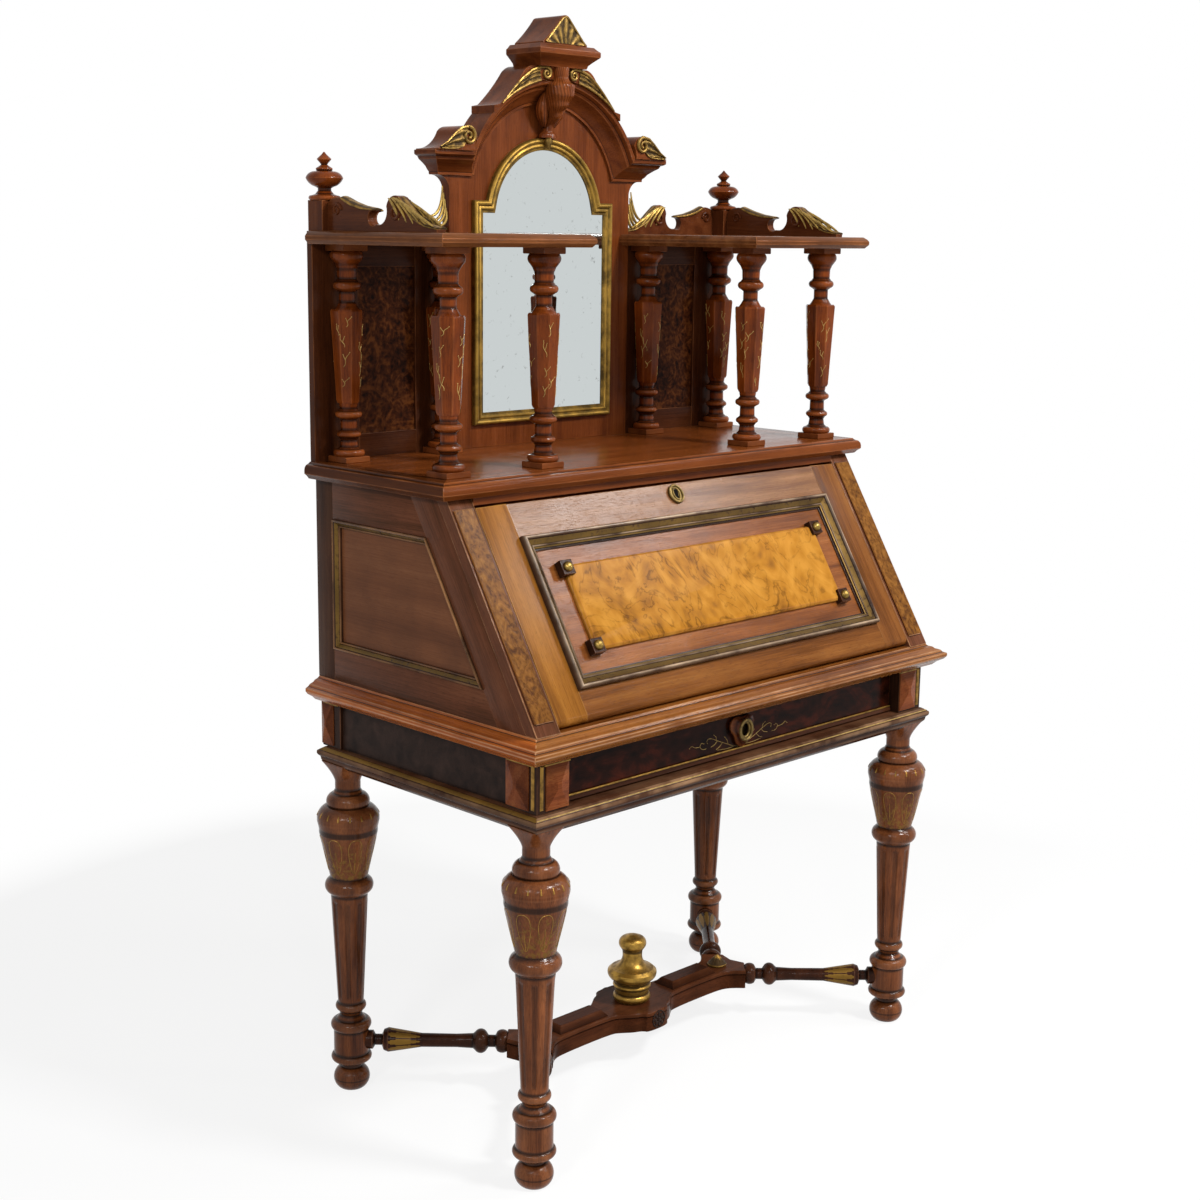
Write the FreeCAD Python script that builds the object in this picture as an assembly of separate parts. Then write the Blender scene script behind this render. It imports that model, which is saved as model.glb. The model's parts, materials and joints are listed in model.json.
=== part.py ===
"""Slant-front secretary desk with a columned, mirrored gallery.

Millimetres. +X runs to the sitter's right, -Y to the front and +Z up.
The origin is on the floor, under the middle of the overall box.
"""
import FreeCAD, Part
import math
import os

V = FreeCAD.Vector

# Heights, stacked from the floor
LEG_HIGH = 607.0
BASE_THICK = 33.0           # moulding under the frieze
FRIEZE_HIGH = 85.0
BOARD_THICK = 41.0
CASE_HIGH = 347.0           # desk case, from the writing board to the top board
TOP_THICK = 29.0
COLUMN_HIGH = 364.0
SHELF_THICK = 21.0

# Boards
BOARD_WIDTH = 1076.0        # writing board, tip to tip of its moulded edge
BOARD_DEPTH = 588.0
TOP_WIDTH = 1064.0          # top board under the gallery
TOP_DEPTH = 367.0
SHELF_OUTER = 532.0         # half spread of the two shelves
SHELF_INNER = 200.0         # inner end of each shelf

# Base
LEG_X = 477.0
LEG_FRONT = 526.0           # distance of the front leg axes from the back plane
LEG_BACK = 37.0
LEG_HEAD_HALF = 37.0
LEG_MAX_R = 55.2            # shoulder, the widest turning of a leg
FLUTE_COUNT = 8
FLUTE_WIDTH = 5.0
FLUTE_DEPTH = 1.8
BASE_RIM = 14.0             # how far the base moulding stands out from the posts
BASE_MEMBER = 80.0          # width of a base moulding member, seen from above
POST_WIDTH = 67.0           # corner posts, seen from the front
POST_DEEP_FRONT = 71.0      # front posts, seen from the side
POST_DEEP_BACK = 51.0
POST_OUTER = 502.0          # half spread of the post faces
POST_FRONT = 554.0          # front faces of the front posts, from the back plane
APRON_THICK = 16.0
APRON_SET = 6.0             # side and back aprons stand back from the post faces
TABLET_MARGIN = 4.0         # above and below a tablet
TABLET_EDGE = 18.0          # from a tablet to the front or outer edge of its post
TABLET_PROUD = 7.0

# Stretcher
STRETCHER_THICK = 37.0
RAIL_HALF = 30.0
PLATFORM_REACH = 72.0
SPINDLE_LENGTH = 283.0      # leg axis to the fork face, along the diagonal
FORK_HALF = 22.0
WEDGE_RISE = 12.0
SPINDLE_R = 22.0
FINIAL_HEIGHT = 130.0
FINIAL_WIDE_R = 46.5

# Drawer
DRAWER_RECESS = 22.0        # front face behind the post faces
DRAWER_FRONT_THICK = 20.0
DRAWER_LENGTH = 440.0
DRAWER_SIDE_THICK = 11.0
DRAWER_BOTTOM_THICK = 7.0
DRAWER_SIDE_DROP = 12.0     # sides are lower than the front
DRAWER_GAP = 1.5            # clearance all round the drawer front
DRAWER_RUN = 0.2            # running gap between the drawer sides and the runners
RUNNER_WIDTH = 36.0
RUNNER_THICK = 14.0
GUIDE_THICK = 8.0
GUIDE_HIGH = 20.0
BEAD = 5.0
BOLT_WIDTH = 22.0
BOLT_THICK = 6.0
BOLT_TRAVEL = 8.0
BOLT_FIT = 0.5
LOCK_WIDTH = 60.0
LOCK_HEIGHT = 40.0
LOCK_THICK = 9.0

# Desk case
CASE_OUTER = 508.0          # half width over the sides
SIDE_THICK = 20.0
CASE_BACK_THICK = 12.0
SLANT_LOW = 560.0           # slant face at board level, from the back plane
SLANT_HIGH = 346.0          # slant face under the top board
STILE_WIDTH = 51.0          # fixed slant stile, seen from the front
SIDE_BACK_STILE = 46.0
SIDE_TOP_RAIL = 66.0
SIDE_LOW_RAIL = 55.0
SIDE_FRONT_STILE = 56.0
SIDE_PANEL_THICK = 8.0
SIDE_PANEL_SET = 9.0        # panel face behind the frame face
SIDE_MOULD_WIDTH = 14.0
SIDE_MOULD_PROUD = 4.0
CHEEK_THICK = 12.0
TOP_RAIL_THICK = 13.0
STRIP_MARGIN = 7.0
STRIP_PROUD = 2.5

# Fall front
LID_THICK = 22.0
LID_GAP = 1.0               # at the sides of the fall front
LID_SWEEP_GAP = 1.5         # under the rounded lower edge
LID_HEAD_GAP = 30.0         # along the slant, from the fall front's top edge to the top board
LID_STILE = 66.0
LID_LOW_RAIL = 50.0
LID_TOP_RAIL = 60.0
LID_PANEL_THICK = 12.0
LID_MOULD_WIDTH = 26.0
LID_MOULD_PROUD = 12.0
TABLET_HALF_WIDTH = 321.0
TABLET_HEIGHT = 151.0
TABLET_THICK = 9.0
STUD_BLOCK = 26.0
STUD_BLOCK_THICK = 15.0
STUD_R = 9.0
ESCUTCHEON_LENGTH = 34.0
ESCUTCHEON_WIDTH = 30.0
ESCUTCHEON_THICK = 3.0
KEYHOLE_R = 3.0
LID_BOLT_TRAVEL = 22.0
LID_BOLT_LENGTH = 34.0
PIVOT_R = 4.0
PIVOT_FIT = 0.05
PIVOT_LENGTH = 14.0

# Elbow stays
STAY_ARM = 130.0            # all four sides of the stay's rhombus
STAY_CASE_ANGLE = 10.0      # direction of the case pivot from the hinge axis
STAY_OFFSET = 25.0          # lid pivot below the middle plane of the fall front
STAY_BAR_WIDTH = 12.0
STAY_BAR_THICK = 2.5
STAY_PLAY = 1.0             # side clearance between the bars
STAY_STUD_R = 2.5
STAY_OPEN_FIT = 0.4         # at the elbow, the pivot that is left open
STAY_STUD_FIT = 0.05

# Pigeonholes
NEST_DEPTH = 215.0
NEST_THICK = 8.0
NEST_BAYS = 4
NEST_LOW_BAY = 182.0        # clear height of the lower row

# Gallery
WING_OUTER = 518.0
WING_THICK = 14.0
WING_PANEL_THICK = 6.0
WING_PANEL_SET = 4.0
WING_STILE_IN = 74.0
WING_STILE_OUT = 94.0
WING_RAIL_LOW = 42.0
WING_RAIL_HIGH = 59.0
CENTRE_HALF = 225.0
CENTRE_THICK = 20.0
FLARE_UP = 456.0            # heights above the top board: where the waist of the centre panel flares,
MIRROR_UP = 41.0            # the mirror frame's lower edge,
SHOULDER_UP = 442.0         # its shoulders,
ARCH_UP = 436.0             # the centre of the arched cornice,
CORNICE_UP = 484.0          # the cornice's lower edge,
STEP_UP = 605.0             # the step at the foot of the upper scrolls
CAP_UP = 678.0              # and the cap's underside
MIRROR_HALF = 173.0
MIRROR_TALL = 515.0
MIRROR_ARCH_HALF = 140.0
MIRROR_FRAME = 22.0
MIRROR_PROUD = 11.0
GLASS_THICK = 5.0
GLASS_FIT = 0.4
ARCH_R = 221.0
CORNICE_TALL = 41.0
CORNICE_OUT = 38.0
EAR_HALF = 250.0            # centre panel at the ears, under the cornice return
HOOD_DEPTH = 62.0
STEP_TALL = 13.0
CAP_HALF = 75.0
CAP_TALL = 38.0
PEDIMENT_TALL = 52.0
CAP_FRONT = 91.0
CAP_NECK = 57.0
PEDIMENT_HALF = 54.0
PEDIMENT_FRONT = 76.0
COLUMN_OUTER = 468.0
COLUMN_INNER = 261.0
COLUMN_FRONT = 304.0
COLUMN_BACK = 42.0
COLUMN_BASE = 50.0          # square plinth and cap
COLUMN_R = 28.0
PLINTH_HIGH = 10.0
CAP_HIGH = 11.0
RAIL_THICK = 18.0
RAIL_HIGH = 57.0
GALLERY_POST = 40.0
GALLERY_POST_HIGH = 50.0
FINIAL_R = 31.0
FINIAL_TALL = 78.0

TOUCH = 0.3                 # gap left between curved faces that meet

# Values worked out from the sizes above
LEG_OVERHANG = max(LEG_MAX_R - LEG_BACK, 0.0)
BACK = (BOARD_DEPTH - LEG_OVERHANG) / 2
BASE_LOW = LEG_HIGH
BASE_TOP = BASE_LOW + BASE_THICK
BOARD_LOW = BASE_TOP + FRIEZE_HIGH
BOARD_TOP = BOARD_LOW + BOARD_THICK
TOP_LOW = BOARD_TOP + CASE_HIGH
TOP_LEVEL = TOP_LOW + TOP_THICK
SHELF_LOW = TOP_LEVEL + COLUMN_HIGH
SHELF_TOP = SHELF_LOW + SHELF_THICK
LEG_HEAD_LOW = 0.972 * LEG_HIGH
LEG_NECK_R = 0.409 * LEG_MAX_R
LEG_BLOCK_R = 0.571 * LEG_MAX_R     # plain drum that takes the stretcher spindle
LEG_BLOCK_LOW = 0.109 * LEG_HIGH
LEG_BLOCK_HIGH = 0.1845 * LEG_HIGH
SPINDLE_Z = (LEG_BLOCK_LOW + LEG_BLOCK_HIGH) / 2
RAIL_LOW = SPINDLE_Z - STRETCHER_THICK * 0.62
RAIL_TOP = RAIL_LOW + STRETCHER_THICK
FLARE_LOW = TOP_LEVEL + FLARE_UP
MIRROR_LOW = TOP_LEVEL + MIRROR_UP
MIRROR_SHOULDER = TOP_LEVEL + SHOULDER_UP
MIRROR_ARCH_TOP = MIRROR_LOW + MIRROR_TALL
ARCH_Z = TOP_LEVEL + ARCH_UP
CORNICE_LOW = TOP_LEVEL + CORNICE_UP
CORNICE_TOP = CORNICE_LOW + CORNICE_TALL
CAP_LOW = TOP_LEVEL + CAP_UP
CAP_TOP = CAP_LOW + CAP_TALL
APEX = CAP_TOP + PEDIMENT_TALL
SLANT_RUN = SLANT_LOW - SLANT_HIGH
SLANT_RISE = CASE_HIGH
SLANT = math.atan2(SLANT_RISE, SLANT_RUN)
LID_HALF = CASE_OUTER - STILE_WIDTH - LID_GAP
LID_R = LID_THICK / 2
AXIS_Z = BOARD_TOP + LID_SWEEP_GAP + LID_R
OPEN_ANGLE = 180.0 - math.degrees(SLANT)


def from_back(distance):
    """Y of a plane that lies this far in front of the back plane."""
    return BACK - distance


def slant_face(z):
    """Y of the slant's outer face at height z."""
    return from_back(SLANT_LOW) + (z - BOARD_TOP) / math.tan(SLANT)


AXIS_Y = slant_face(AXIS_Z) + LID_R / math.sin(SLANT)
LID_LENGTH = LID_R + (TOP_LOW - AXIS_Z - LID_R * math.cos(SLANT)) / math.sin(SLANT) - LID_HEAD_GAP + LID_R


def on_slant(x, along, out):
    """Point on the fall front: along the slope from the hinge axis, out from its middle plane."""
    y = AXIS_Y + along * math.cos(SLANT) - out * math.sin(SLANT)
    z = AXIS_Z + along * math.sin(SLANT) + out * math.cos(SLANT)
    return V(x, y, z)


def box(x0, x1, y0, y1, z0, z1):
    """Upright block between two corners."""
    return Part.makeBox(x1 - x0, y1 - y0, z1 - z0, V(x0, y0, z0))


def polygon(points):
    """Closed wire through the points."""
    return Part.makePolygon(list(points) + [points[0]])


def prism(points, along):
    """Solid swept from a flat polygon along a vector."""
    return Part.Face(polygon(points)).extrude(along)


def outline(start, *steps):
    """Closed wire of lines and arcs; a step is an end point, or a middle and an end point of an arc."""
    edges = []
    here = start
    for step in steps:
        if isinstance(step, tuple):
            middle, end = step
            edges.append(Part.Arc(here, middle, end).toShape())
        else:
            end = step
            edges.append(Part.LineSegment(here, end).toShape())
        here = end
    if here.distanceToPoint(start) > 1e-6:
        edges.append(Part.LineSegment(here, start).toShape())
    return Part.Wire(edges)


def loft(wires):
    """Ruled solid through matching wires."""
    return Part.makeLoft(wires, True, True)


def rectangle(x0, x1, y0, y1, z):
    """Level rectangle as a wire."""
    return polygon([V(x0, y0, z), V(x1, y0, z), V(x1, y1, z), V(x0, y1, z)])


def turned(profile, tall=1.0, wide=1.0):
    """Solid turned about Z from (z, r) points, each a share of the height and the greatest radius.

    A third and fourth value of a point give the middle of an arc that ends there.
    """
    def point(z, r):
        return V(r * wide, 0, z * tall)
    first = profile[0]
    last = profile[-1]
    steps = [point(*first)]
    for item in profile[1:]:
        end = point(*item[:2])
        steps.append((point(*item[2:]), end) if len(item) == 4 else end)
    steps.append(point(last[0], 0))
    wire = outline(point(first[0], 0), *steps)
    return Part.Face(wire).revolve(V(0, 0, 0), V(0, 0, 1), 360)


def mirrored(shape):
    """The same shape on the other side of the middle plane."""
    return shape.mirror(V(0, 0, 0), V(1, 0, 0))


def pair(shape):
    """A shape of the right side and its twin on the left."""
    return [mirrored(shape), shape]


def moved(shape, x=0.0, y=0.0, z=0.0):
    """A copy of the shape set down at a place."""
    copy = shape.copy()
    copy.translate(V(x, y, z))
    return copy


def inset(points, amount):
    """Convex polygon, anticlockwise (u, v) points, with every side moved inwards by the amount."""
    lines = []
    count = len(points)
    for i in range(count):
        (u0, v0), (u1, v1) = points[i], points[(i + 1) % count]
        length = math.hypot(u1 - u0, v1 - v0)
        nu, nv = -(v1 - v0) / length, (u1 - u0) / length
        lines.append((nu, nv, nu * u0 + nv * v0 + amount))
    corners = []
    for i in range(count):
        a0, b0, c0 = lines[i - 1]
        a1, b1, c1 = lines[i]
        det = a0 * b1 - a1 * b0
        corners.append(((c0 * b1 - c1 * b0) / det, (a0 * c1 - a1 * c0) / det))
    return corners


def mitred(points, profile, place):
    """Moulding strips round a polygon, mitred at its corners.

    profile holds (inset, height) points and place turns (u, v, height) into a point.
    """
    count = len(points)
    ends = []
    rings = [inset(points, amount) for amount, _ in profile]
    for i in range(count):
        ends.append([place(*ring[i], high) for ring, (_, high) in zip(rings, profile)])
    return [strip(ends[i], ends[(i + 1) % count]) for i in range(count)]


def strip(start, end):
    """Solid between two matching polygons, with flat faces."""
    faces = [Part.Face(polygon(start)), Part.Face(polygon(end))]
    for i in range(len(start)):
        faces.append(Part.Face(polygon([start[i - 1], start[i], end[i], end[i - 1]])))
    solid = Part.Solid(Part.Shell(faces))
    return solid if solid.Volume > 0 else solid.reversed()


def moulded_board(x0, x1, front, back, levels, sides=(True, True)):
    """Board with a moulded edge; levels are (inset, z) and the back edge stays straight."""
    wires = []
    for amount, z in levels:
        left = x0 + (amount if sides[0] else 0)
        right = x1 - (amount if sides[1] else 0)
        wires.append(rectangle(left, right, from_back(front - amount), from_back(back), z))
    return loft(wires)


def build_leg():
    """Turned leg on the Z axis with a square flared head."""
    foot = [(0, 0.417), (0.066, 0.348, 0.035, 0.589), (0.077, 0.348), (0.084, 0.543)]
    drum = [(0.109, 0.571, 0.096, 0.663), (0.1845, 0.571), (0.217, 0.489, 0.201, 0.661)]
    ankle = [(0.231, 0.351), (0.244, 0.399), (0.27, 0.418, 0.257, 0.5)]
    shaft = [(0.608, 0.598), (0.614, 0.661), (0.656, 0.661, 0.634, 0.783), (0.662, 0.603)]
    vase = [(0.799, 0.942), (0.811, 0.942), (0.834, 1.0), (0.845, 1.0), (0.88, 0.67, 0.868, 0.888)]
    neck = [(0.916, 0.489, 0.896, 0.692), (0.9275, 0.409), (0.972, 0.409)]
    leg = turned(foot + drum + ankle + shaft + vase + neck, LEG_HIGH, LEG_MAX_R)
    squares = []
    flare = LEG_HEAD_HALF - LEG_NECK_R
    for share, part in ((0.0, 0.0), (0.5, 0.3), (0.8, 0.65), (1.0, 1.0)):
        half = LEG_NECK_R + flare * part
        z = LEG_HEAD_LOW + (BASE_LOW - LEG_HEAD_LOW) * share
        squares.append(rectangle(-half, half, -half, half, z))
    leg = leg.fuse(loft(squares))
    return leg.cut(Part.makeCompound(leg_flutes())).removeSplitter()


def leg_flutes():
    """Narrow grooves down the tapering shaft of a leg."""
    ends = ((0.283, 0.426), (0.593, 0.59))
    y = FLUTE_WIDTH / 2
    cutters = []
    for i in range(FLUTE_COUNT):
        wires = []
        for z_share, r_share in ends:
            z, r = z_share * LEG_HIGH, r_share * LEG_MAX_R
            inner, outer = r - FLUTE_DEPTH, r + FLUTE_DEPTH * 2
            wires.append(polygon([V(inner, -y, z), V(outer, -y, z), V(outer, y, z), V(inner, y, z)]))
        cutter = loft(wires)
        cutter.rotate(V(0, 0, 0), V(0, 0, 1), 360.0 / FLUTE_COUNT * (i + 0.5))
        cutters.append(cutter)
    return cutters


def rail_plan():
    """Plan of the stretcher rail as (x, y) corners, about its own middle."""
    half_gap = (LEG_FRONT - LEG_BACK) / 2
    step = SPINDLE_LENGTH / math.sqrt(2)
    face_x, face_y = LEG_X - step, half_gap - step
    side = FORK_HALF / math.sqrt(2)
    quarter = [
        (0, PLATFORM_REACH), (26, PLATFORM_REACH), (32, PLATFORM_REACH - 12), (48, PLATFORM_REACH - 18),
        (66, RAIL_HALF + 10), (82, RAIL_HALF), (face_x - 72, RAIL_HALF), (face_x - 40, RAIL_HALF + 6),
        (face_x - side, face_y + side), (face_x + side, face_y - side), (face_x + side - 8, 0),
    ]
    right = quarter + [(x, -y) for x, y in reversed(quarter[1:-1])] + [(0, -PLATFORM_REACH)]
    return right + [(-x, y) for x, y in reversed(right[1:-1])]


def build_stretcher():
    """Rail with its platform, forked ends and raised wedge panels."""
    middle = from_back((LEG_FRONT + LEG_BACK) / 2)
    plan = [V(x, y + middle, RAIL_LOW) for x, y in rail_plan()]
    rail = prism(plan, V(0, 0, RAIL_TOP - RAIL_LOW))
    start = 88.0
    end = LEG_X - SPINDLE_LENGTH / math.sqrt(2) - 66
    rim, slope = 5.0, 9.0
    half = RAIL_HALF - rim
    crest = half - slope
    panel = loft([
        rectangle(start, end, middle - half, middle + half, RAIL_TOP),
        rectangle(start + slope, end - slope, middle - crest, middle + crest, RAIL_TOP + WEDGE_RISE),
    ])
    for piece in pair(panel):
        rail = rail.fuse(piece)
    return rail


def build_spindles():
    """Four turned spindles from the legs to the forks of the rail."""
    flange = [(-0.03, 0.77), (0.032, 0.77), (0.048, 0.455), (0.095, 0.455)]
    vase = [(0.111, 0.864), (0.143, 1.0), (0.382, 0.568), (0.634, 0.545), (0.7535, 0.614)]
    ring = [(0.769, 0.773), (0.849, 0.773, 0.809, 1.0), (0.865, 0.5), (0.9125, 0.5), (0.928, 0.818)]
    disc = [(1.0, 0.818, 0.964, 0.955)]
    spindle = turned(flange + vase + ring + disc, SPINDLE_LENGTH - LEG_BLOCK_R, SPINDLE_R)
    spindle.translate(V(0, 0, LEG_BLOCK_R))
    spindle.rotate(V(0, 0, 0), V(0, 1, 0), 90)
    drum = Part.makeCylinder(LEG_BLOCK_R, LEG_BLOCK_HIGH - LEG_BLOCK_LOW, V(0, 0, LEG_BLOCK_LOW))
    spindles = []
    for x, distance, turn in (
        (LEG_X, LEG_FRONT, 135), (-LEG_X, LEG_FRONT, 45), (LEG_X, LEG_BACK, -135), (-LEG_X, LEG_BACK, -45),
    ):
        piece = spindle.copy()
        piece.rotate(V(0, 0, 0), V(0, 0, 1), turn)
        piece.translate(V(0, 0, SPINDLE_Z))
        spindles.append(moved(piece.cut(drum), x, from_back(distance)))
    return spindles


def build_finial():
    """Gilt knob on the stretcher platform."""
    base = [(0, 0.667), (0.02, 0.71), (0.11, 0.71, 0.065, 0.763), (0.12, 0.677), (0.22, 0.731)]
    bowl = [(0.26, 0.753, 0.25, 0.774), (0.28, 0.7), (0.33, 0.774), (0.46, 0.99, 0.42, 1.0), (0.5, 0.86)]
    knob = [(0.7, 0.398, 0.57, 0.516), (0.76, 0.409), (0.8, 0.473), (0.97, 0.344, 0.88, 0.56), (1.0, 0.13)]
    finial = turned(base + bowl + knob, FINIAL_HEIGHT, FINIAL_WIDE_R)
    return moved(finial, 0, from_back((LEG_FRONT + LEG_BACK) / 2), RAIL_TOP)


def post_corners():
    """Low X and low Y corner and depth of each corner post, front pair first."""
    for distance, deep in ((POST_FRONT, POST_DEEP_FRONT), (POST_DEEP_BACK, POST_DEEP_BACK)):
        for x in (-POST_OUTER, POST_OUTER - POST_WIDTH):
            yield x, from_back(distance), deep


def build_base_moulding():
    """Four mitred members under the frieze."""
    half = POST_OUTER + BASE_RIM
    front = from_back(POST_FRONT + BASE_RIM)
    corners = [(-half, front), (half, front), (half, BACK), (-half, BACK)]
    profile = [
        (10, BASE_TOP), (2, BASE_TOP - 6), (0, BASE_TOP - 10), (0, BASE_TOP - 15), (5, BASE_TOP - 20),
        (8, BASE_TOP - 27), (14, BASE_LOW), (BASE_MEMBER, BASE_LOW), (BASE_MEMBER, BASE_TOP),
    ]
    return mitred(corners, profile, lambda x, y, z: V(x, y, z))


def build_tablets():
    """Faceted tablets on the outer faces of the corner posts."""
    low = BASE_TOP + TABLET_MARGIN
    high = BOARD_LOW - TABLET_MARGIN
    middle = (low + high) / 2
    rise = (high - low) / 2

    def tablet(half, place):
        """Flat-backed block with a hipped face."""
        def ring(share, out):
            w, h = half * share, rise * share
            return polygon([place(-w, middle - h, out), place(w, middle - h, out),
                            place(w, middle + h, out), place(-w, middle + h, out)])
        return loft([ring(1.0, 0.0), ring(1.0, 2.0), ring(0.16, TABLET_PROUD)])

    pieces = []
    for x, y, deep in post_corners():
        side = 1 if x > 0 else -1
        half_deep = (deep - TABLET_EDGE) / 2
        centre_y = y + TABLET_EDGE + half_deep
        pieces.append(tablet(half_deep, lambda u, z, out: V(side * (POST_OUTER + out), centre_y + u, z)))
        if y < 0:
            half_wide = (POST_WIDTH - TABLET_EDGE) / 2
            centre_x = side * (POST_OUTER - TABLET_EDGE - half_wide)
            pieces.append(tablet(half_wide, lambda u, z, out: V(centre_x + u, y - out, z)))
    return pieces


def build_aprons():
    """Plain boards between the corner posts: two sides and the back."""
    outer = POST_OUTER - APRON_SET
    front = from_back(POST_FRONT - POST_DEEP_FRONT)
    rear = from_back(POST_DEEP_BACK)
    side = box(outer - APRON_THICK, outer, front, rear, BASE_TOP, BOARD_LOW)
    inner = POST_OUTER - POST_WIDTH
    back = box(-inner, inner, BACK - APRON_SET - APRON_THICK, BACK - APRON_SET, BASE_TOP, BOARD_LOW)
    return pair(side) + [back]


def drawer_limits():
    """Half width, low and high edge and front face of the drawer front."""
    half = POST_OUTER - POST_WIDTH - DRAWER_GAP
    return half, BASE_TOP + DRAWER_GAP, BOARD_LOW - DRAWER_GAP * 2, from_back(POST_FRONT - DRAWER_RECESS)


def build_runners():
    """Two rails that carry the drawer sides, with a guide strip outside each."""
    half = drawer_limits()[0]
    front = from_back(POST_FRONT + BASE_RIM - BASE_MEMBER)
    rear = BACK - BASE_MEMBER
    low = BASE_TOP - RUNNER_THICK
    runner = box(half - RUNNER_WIDTH, half, front, rear, low, BASE_TOP)
    guide_in = half + DRAWER_GAP
    front, rear = from_back(POST_FRONT - POST_DEEP_FRONT), from_back(POST_DEEP_BACK)
    guide = box(guide_in, guide_in + GUIDE_THICK, front, rear, BASE_TOP, BASE_TOP + GUIDE_HIGH)
    return pair(runner) + pair(guide)


def build_drawer():
    """Drawer front, sides, back, bottom, bead, boss, escutcheon, lock and bolt."""
    half, low, high, face = drawer_limits()
    rear_face = face + DRAWER_FRONT_THICK
    tail = face + DRAWER_LENGTH
    side_top = high - DRAWER_SIDE_DROP
    bottom_low = low + 10
    groove = bottom_low + DRAWER_BOTTOM_THICK
    inner = half - DRAWER_SIDE_THICK
    middle = (low + high) / 2 + 4

    front = box(-half, half, face, rear_face, low, high)
    lock_top = high
    pocket = box(-LOCK_WIDTH / 2, LOCK_WIDTH / 2, rear_face - LOCK_THICK, rear_face, high - LOCK_HEIGHT, high)
    keyhole = Part.makeCylinder(KEYHOLE_R, DRAWER_FRONT_THICK, V(0, face, middle), V(0, 1, 0))
    front = front.cut(pocket).cut(keyhole)

    side = box(inner, half, rear_face, tail, BASE_TOP + DRAWER_RUN, side_top)
    back = box(-inner, inner, tail - DRAWER_SIDE_THICK, tail, groove, side_top)
    bottom = box(-inner, inner, rear_face, tail, bottom_low, groove)

    bead_low = low + 2
    bead_high = bead_low + BEAD * 1.6
    section = [(face - BEAD, bead_low), (face, bead_low), (face, bead_high), (face - BEAD * 0.5, bead_high)]
    bead = prism([V(-half, *p) for p in section], V(2 * half, 0, 0))

    plate = build_escutcheon()
    plate.rotate(V(0, 0, 0), V(1, 0, 0), 90)
    plate.translate(V(0, face, middle))

    boss = build_boss(face, middle)

    bolt_y = rear_face - LOCK_THICK / 2
    half_bolt = BOLT_THICK / 2
    slot = box(-BOLT_WIDTH / 2 - BOLT_FIT, BOLT_WIDTH / 2 + BOLT_FIT, bolt_y - half_bolt - BOLT_FIT,
               bolt_y + half_bolt + BOLT_FIT, lock_top - BOLT_TRAVEL * 2, lock_top)
    lock = pocket.cut(slot)
    bolt = box(-BOLT_WIDTH / 2, BOLT_WIDTH / 2, bolt_y - half_bolt, bolt_y + half_bolt,
               lock_top - BOLT_TRAVEL * 2, lock_top - BOLT_FIT)
    return {
        "drawer_front": [front], "drawer_box": pair(side) + [back], "drawer_bottom": [bottom],
        "drawer_bead": [bead], "drawer_escutcheon": [plate], "drawer_boss": boss, "drawer_lock": [lock],
        "drawer_lock_bolt": [bolt],
    }


def build_escutcheon():
    """Oval keyhole plate with a rolled rim, its back on the XY plane."""
    a, b = ESCUTCHEON_WIDTH / 2, ESCUTCHEON_LENGTH / 2
    def oval(share, z):
        ellipse = Part.Ellipse(V(0, b * share, z), V(a * share, 0, z), V(0, 0, z))
        return Part.Wire(ellipse.toShape())
    plate = loft([oval(1.0, 0), oval(1.0, ESCUTCHEON_THICK * 0.6), oval(0.8, ESCUTCHEON_THICK)])
    return plate.cut(Part.makeCylinder(KEYHOLE_R, ESCUTCHEON_THICK * 2, V(0, 0, -ESCUTCHEON_THICK / 2)))


def build_boss(face, middle):
    """Carved shield on the drawer front, round the keyhole plate."""
    gap = 1.0
    wide, tall, proud = 34.0, 26.0, 8.0
    shield = outline(
        V(-wide, face, middle + tall), V(wide, face, middle + tall),
        (V(wide * 0.8, face, middle - tall * 0.2), V(0, face, middle - tall * 1.1)),
        (V(-wide * 0.8, face, middle - tall * 0.2), V(-wide, face, middle + tall)),
    )
    body = Part.Face(shield).extrude(V(0, -proud, 0))
    hole = Part.Wire(Part.Ellipse(
        V(0, face, middle + ESCUTCHEON_LENGTH / 2 + gap),
        V(ESCUTCHEON_WIDTH / 2 + gap, face, middle), V(0, face, middle)).toShape())
    return [body.cut(Part.Face(hole).extrude(V(0, -proud, 0)))]


def build_writing_board():
    """Moulded board at writing level, with the mortise for the drawer bolt."""
    half = BOARD_WIDTH / 2
    top, low = BOARD_TOP, BOARD_LOW
    levels = [
        (20, low), (14, low + 6), (4, low + 12), (0, low + 17), (0, low + 23), (6, low + 25), (9, low + 29),
        (17, low + 32), (20, low + 35), (27, low + 37), (30, top),
    ]
    board = moulded_board(-half, half, BOARD_DEPTH, 0, levels)
    rear_face = drawer_limits()[3] + DRAWER_FRONT_THICK
    bolt_y = rear_face - LOCK_THICK / 2
    wide = BOLT_WIDTH / 2 + BOLT_FIT * 2
    deep = BOLT_THICK / 2 + BOLT_FIT * 2
    mortise = box(-wide, wide, bolt_y - deep, bolt_y + deep, low, low + BOLT_TRAVEL)
    return board.cut(mortise)


def side_outline():
    """Case side behind the slant stile as anticlockwise (y, z) corners."""
    low = slant_face(BOARD_TOP) + LID_THICK / math.sin(SLANT)
    high = slant_face(TOP_LOW) + LID_THICK / math.sin(SLANT)
    return [(low, BOARD_TOP), (BACK, BOARD_TOP), (BACK, TOP_LOW), (high, TOP_LOW)]


def side_panel_outline():
    """Opening in the case side's frame as anticlockwise (y, z) corners."""
    low, high = BOARD_TOP + SIDE_LOW_RAIL, TOP_LOW - SIDE_TOP_RAIL
    edge = (LID_THICK + SIDE_FRONT_STILE) / math.sin(SLANT)
    rear = BACK - SIDE_BACK_STILE
    return [(slant_face(low) + edge, low), (rear, low), (rear, high), (slant_face(high) + edge, high)]


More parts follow.
